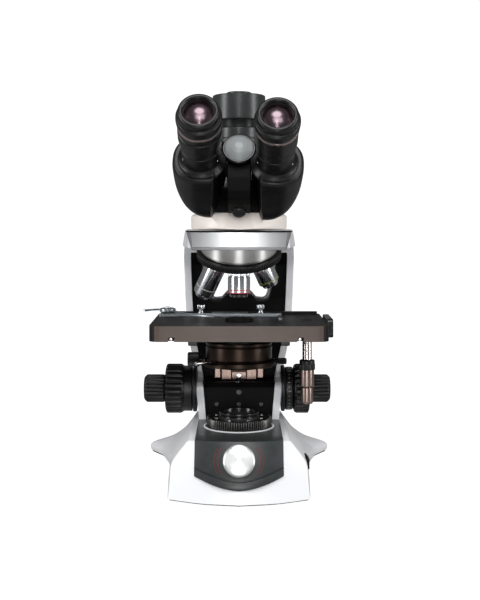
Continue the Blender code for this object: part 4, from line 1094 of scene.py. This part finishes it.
def oval(cx, cy, ax, ay, height, sign):
    """A rounded section, square-shouldered like a moulding."""
    points = []
    for k in range(OVAL_POINTS):
        angle = 2 * math.pi * k / OVAL_POINTS
        c, s = math.cos(angle), math.sin(angle)
        x = cx + ax * math.copysign(abs(c) ** (2 / SQUARENESS), c)
        y = cy + ay * math.copysign(abs(s) ** (2 / SQUARENESS), s)
        points.append((x * sign, y, height))
    return points


def make_housing(side, sign):
    """A prism housing: a moulded belly that flows into the eye tube, with a lug on the hinge."""
    sections = [oval(cx, cy, ax, ay, s, sign) for s, cx, cy, ax, ay in HOUSING_SECTIONS]
    housing = piece(f"prism_housing_{side}", loft(blend_sections(sections, 3)), BLACK, f"{side}_arm",
                    [f"{side}_housing"], EYE_ARM)
    fold = INNER_FACE + 90.0 * math.tan(FOLD)
    split = [(INNER_FACE, 90), (-90, 90), (-90, -90), (fold, -90), (INNER_FACE, 0)]
    carve(housing, slab([(x * sign, y) for x, y in split], -90.0, 40.0), EYE_ARM)
    tube_centre = (sign * TUBE_OFFSET * math.cos(TUBE_DROOP), -TUBE_OFFSET * math.sin(TUBE_DROOP), 0)
    tube_at = EYE_ARM @ Matrix.Translation(tube_centre)
    flare = [(0, 12.0), (TUBE_RADIUS - 0.5, 12.0), (TUBE_RADIUS, 4.0), (TUBE_RADIUS + 2.5, 0.5),
             (TUBE_RADIUS + 5.5, -2.5), (TUBE_RADIUS + 5.5, -6.0), (0, -6.0)]
    join(housing, lathe(flare, fillet=0), tube_at)
    smooth_remesh(housing, 0.7, 8)
    low, high = (-49.0, -8.0) if side == "left" else (-62.0, -49.4)
    join(housing, cylinder(12.4, high, low), EYE_ARM)
    start, stop = sorted((8.0 * sign, (INNER_FACE + 4.0) * sign))
    join(housing, block((start, -6.0, low + 1.0), (stop, 6.0, high - 1.0)), EYE_ARM)
    carve(housing, cylinder(8.9, 40, -90, 64), EYE_ARM)
    carve(housing, cylinder(17.3, 20, -7.5), EYE_ARM)
    make_eye_tube(side, tube_at)
    make_eyepiece(side, tube_at)


def make_eye_tube(side, at):
    """The eye tube with its bright rim and, on the left, the dioptre ring."""
    arm = f"{side}_arm"
    tube = [(0, 37.0), (17.2, 37.0), (TUBE_RADIUS, 36.4), (TUBE_RADIUS, 24.2), (18.2, 23.9), (18.2, 23.1),
            (TUBE_RADIUS, 22.8), (TUBE_RADIUS, 2.0), (0, 2.0)]
    piece(f"eye_tube_{side}", lathe(tube, fillet=0.25), BLACK, arm, (), at)
    line = [(18.0, 37.05), (18.95, 37.05), (18.95, 36.2), (18.0, 36.2)]
    piece(f"tube_rim_{side}", lathe(line, fillet=0.1), STEEL, arm, (), at)
    if side == "left":
        profile = [(0, 50.0), (19.8, 50.0), (20.8, 49.2), (20.8, 38.2), (20.2, 37.4), (0, 37.4)]
        bm = lathe(profile, 320, ribs=64, depth=0.5, span=(39.0, 48.6), fillet=0.3)
        piece("diopter_grip", bm, BLACK, "diopter", ["diopter_ring"], at)


def make_eyepiece(side, at):
    """An eyepiece with its eyecup, bright band, coated lens and the two small screws of its tube."""
    arm = f"{side}_arm"
    low = DIOPTER_TOP if side == "left" else EYEPIECE_LOW
    profile = [(0, 74.0), (13.4, 74.0), (13.9, 76.4), (14.8, 79.0), (15.8, 79.9), (17.4, 79.9), (18.8, 79.0),
               (19.4, 77.4), (19.5, 73.4), (19.0, 72.6), (19.0, 71.8), (20.8, 71.2), (21.5, 70.2),
               (21.6, 67.0), (21.3, 63.0), (20.6, 60.4), (20.2, 59.4), (20.2, low + 0.6), (19.8, low),
               (0, low)]
    piece(f"eyepiece_{side}", lathe(profile, fillet=0.4), BLACK, arm, [f"{side}_eyepiece"], at)
    band = [(19.4, 60.6), (20.75, 60.4), (20.75, 57.2), (19.4, 57.0)]
    piece(f"eyepiece_band_{side}", lathe(band, fillet=0.2), BAND_METAL, arm, (), at)
    dome = smooth_curve([(0, 78.2), (3.5, 78.0), (7.0, 77.3), (10.0, 76.2), (12.2, 75.0), (13.2, 74.4)], 4)
    lens = lathe(dome + [(13.2, 74.1), (0, 74.1)], fillet=0)
    piece(f"eye_glass_{side}", lens, LENS, arm, [f"{side}_eye_lens"], at)
    for k, angle in enumerate((205.0, 335.0)):
        screw_at = at @ turn(angle) @ Matrix.Translation((TUBE_RADIUS - 0.2, 0, 9.0)) @ turn(90, "Y")
        screw_head(f"tube_screw_{side}_{k}", 1.5, screw_at, arm, STEEL, height=0.5)


def make_head_foot():
    """The warm white ring on which the head turns, hollowed where the prism housings swing."""
    profile = [(0, 282.0), (40.0, 281.8), (47.6, 280.6), (HEAD_BASE_RADIUS, 278.6),
               (HEAD_BASE_RADIUS, 266.6), (49.2, 265.3), (0, 265.3)]
    foot = piece("head_foot", lathe(profile, 128, fillet=1.2), WARM_WHITE, "head", ["head_base"])
    carve(foot, cylinder(90, 60, -63.4), HINGE)


def make_head_block():
    """The prism block with the column that carries the hinge; the column is a duller black."""
    outline = rectangle((-30, -34), (30, 34), 6, upper=14)
    body = piece("head_block", slab(outline, 282.3, 352.0), BLACK, "head", ["head_body"])
    carve(body, cylinder(90, 60, -65), HINGE)
    column = [(-13.6, -10), (-30, -10), (-39, -20), (-42, -40), (-41, -60), (-28, -67), (-13.6, -67)]
    join(body, slab(rounded(column, [0, 6, 8, 12, 4, 0, 0]), -11.0, 11.0, "X"), HINGE)
    groove = [(-50, -33.0), (-31, -31.0), (-31, -32.0), (-50, -34.0)]
    carve(body, slab(groove, -20.0, 20.0, "X"), HINGE)
    carve(body, cylinder(13.0, 30, -63, 64), HINGE)
    join(body, cylinder(8.5, -7.3, -90, 64), HINGE)
    add_bevel(body, 1.2)
    to_hinge = HINGE.inverted() @ STAND
    paint_faces(body, MATT_BLACK, lambda centre, normal: (to_hinge @ centre).y < -14.0)


def make_hinge_disc():
    profile = [(0, 2.8), (4.0, 2.4), (8.0, 1.3), (11.5, -0.4), (13.8, -2.2), (14.3, -2.9), (15.8, -2.8),
               (16.8, -3.6), (16.8, -7.0), (0, -7.0)]
    cap = piece("hinge_disc", lathe(profile, 128), HINGE_GREY, "head", ["hinge_cap"], HINGE)
    paint_faces(cap, GLOSS_BLACK, lambda centre, normal: centre.xy.length > 14.2)


def make_clamp_screw():
    at = HINGE @ Matrix.Translation((0, -36.0, -57.0)) @ turn(60, "X")
    profile = [(0, 10.6), (4.0, 10.2), (6.4, 9.0), (7.4, 7.0), (7.4, 0.0), (0, 0.0)]
    piece("head_clamp_screw", lathe(profile, 64), GLOSS_BLACK, "head", (), at)


def make_photo_tube():
    """The photo tube at the back of the head and the threaded cap on it."""
    at = STAND @ Matrix.Translation((0, PHOTO_Y, 0))
    tube = [(0, 371.0), (22.6, 371.0), (24.0, 370.2), (24.0, 360.4), (23.4, 360.0), (23.4, 359.2),
            (24.0, 358.8), (24.0, 352.3), (0, 352.3)]
    piece("photo_socket", lathe(tube, 128, fillet=0.3), PANEL_BLACK, "head", ["photo_tube"], at)
    neck = []
    for k in range(6):
        z = 378.6 - THREAD_PITCH * k
        neck += [(19.5, z), (19.5, z - 0.6), (18.9, z - 0.8), (18.9, z - 1.0)]
    flange = [(0, 409.0), (11.8, 409.0), (13.0, 408.2), (13.0, 405.8), (26.2, 405.5), (27.7, 404.6),
              (27.7, 379.8), (27.0, 379.0)]
    bm = lathe(flange + neck + [(19.5, 371.3), (0, 371.3)], 128, fillet=0.25)
    piece("photo_cap", bm, PANEL_BLACK, "head", ["port_cap"], at)


# ------------------------------------------------------------- camera and light

CAMERA_HEIGHT = 0.2757
CAMERA_DISTANCE = 1.1
LENS_MM = 63.0
# Place, target, width and height in metres, power in watts
LIGHTS = {
    "left_softbox": ((-1.2, -0.5, 0.55), (0, 0, 0.25), (0.35, 1.1), 10.0),
    "right_softbox": ((1.2, -0.5, 0.55), (0, 0, 0.25), (0.35, 1.1), 9.0),
    "front_softbox": ((0.1, -1.35, 1.35), (0, 0, 0.2), (0.9, 0.6), 7.0),
    "front_strip": ((0.0, -1.5, 0.75), (0, 0, 0.25), (0.07, 1.3), 4.0),
    "low_strip": ((0.0, -0.46, 0.02), (0, -0.04, 0.245), (0.16, 0.3), 0.7),
    "top_softbox": ((0.0, -0.7, 1.65), (0, -0.05, 0.3), (0.7, 0.7), 7.0),
}


def make_camera():
    data = bpy.data.cameras.new("camera")
    data.lens = LENS_MM
    data.sensor_width = 36.0
    data.shift_y = -0.135
    data.shift_x = 0.0017
    camera = bpy.data.objects.new("camera", data)
    camera.location = (0.0, -CAMERA_DISTANCE, CAMERA_HEIGHT)
    camera.rotation_euler = (math.radians(90.0), 0.0, 0.0)
    bpy.context.scene.collection.objects.link(camera)
    bpy.context.scene.camera = camera


def make_light(name, place, target, size, power):
    """An area light: round if its two sizes are equal, otherwise a rectangle."""
    data = bpy.data.lights.new(name, "AREA")
    data.shape = "ELLIPSE" if size[0] == size[1] else "RECTANGLE"
    data.size, data.size_y = size
    data.energy = power
    light = bpy.data.objects.new(name, data)
    light.location = place
    light.visible_camera = False
    light.rotation_euler = (Vector(target) - Vector(place)).to_track_quat("-Z", "Y").to_euler()
    bpy.context.scene.collection.objects.link(light)


def backdrop_glow(owner, seen, felt):
    """A strength that is full where the backdrop is seen and lower where it lights the object."""
    path = add_node(owner, "ShaderNodeLightPath")
    span = add_node(owner, "ShaderNodeMapRange", To_Min=felt, To_Max=seen)
    owner.node_tree.links.new(path.outputs["Is Camera Ray"], span.inputs["Value"])
    return span.outputs["Result"]


def make_floor():
    mesh = bpy.data.meshes.new("floor")
    bm = bmesh.new()
    bmesh.ops.create_grid(bm, x_segments=1, y_segments=1, size=6.0)
    bm.to_mesh(mesh)
    bm.free()
    floor = bpy.data.objects.new("floor", mesh)
    bpy.context.scene.collection.objects.link(floor)
    mat = new_material("studio_floor", (0.25, 0.25, 0.25), 0.9, Emission_Color=(1.0, 1.0, 1.0, 1.0))
    vary_roughness(mat, 0.85, 0.95, 20.0)
    drive(mat, backdrop_glow(mat, 1.0, 0.12), "Emission Strength")
    mesh.materials.append(mat)


def make_world():
    world = bpy.data.worlds.new("world")
    world.use_nodes = True
    background = world.node_tree.nodes["Background"]
    background.inputs["Color"].default_value = (1.0, 1.0, 1.0, 1.0)
    world.node_tree.links.new(backdrop_glow(world, 1.1, 0.16), background.inputs["Strength"])
    bpy.context.scene.world = world
    bpy.context.scene.view_settings.view_transform = "Standard"


finish_cad_nodes()
make_base_shell()
make_front_panel()
make_dial()
make_diaphragm_ring()
make_lamp()
make_rocker()
make_mains_inlet()
make_underside()
dress_arm()
make_fascia()
make_bowl()
make_turret()
make_coarse_knobs()
make_fine_knobs()
make_tension_ring()
make_focus_shafts()
make_stage_plate()
make_stage_stops()
make_slide_plate()
make_lift()
make_stage_drive()
make_slide_holder()
make_slide_finger()
make_condenser_mount()
make_condenser_body()
make_condenser_controls()
make_head_foot()
make_head_block()
make_hinge_disc()
make_clamp_screw()
make_photo_tube()
make_housing("left", -1.0)
make_housing("right", 1.0)
make_camera()
make_floor()
make_world()
for name, settings in LIGHTS.items():
    make_light(name, *settings)
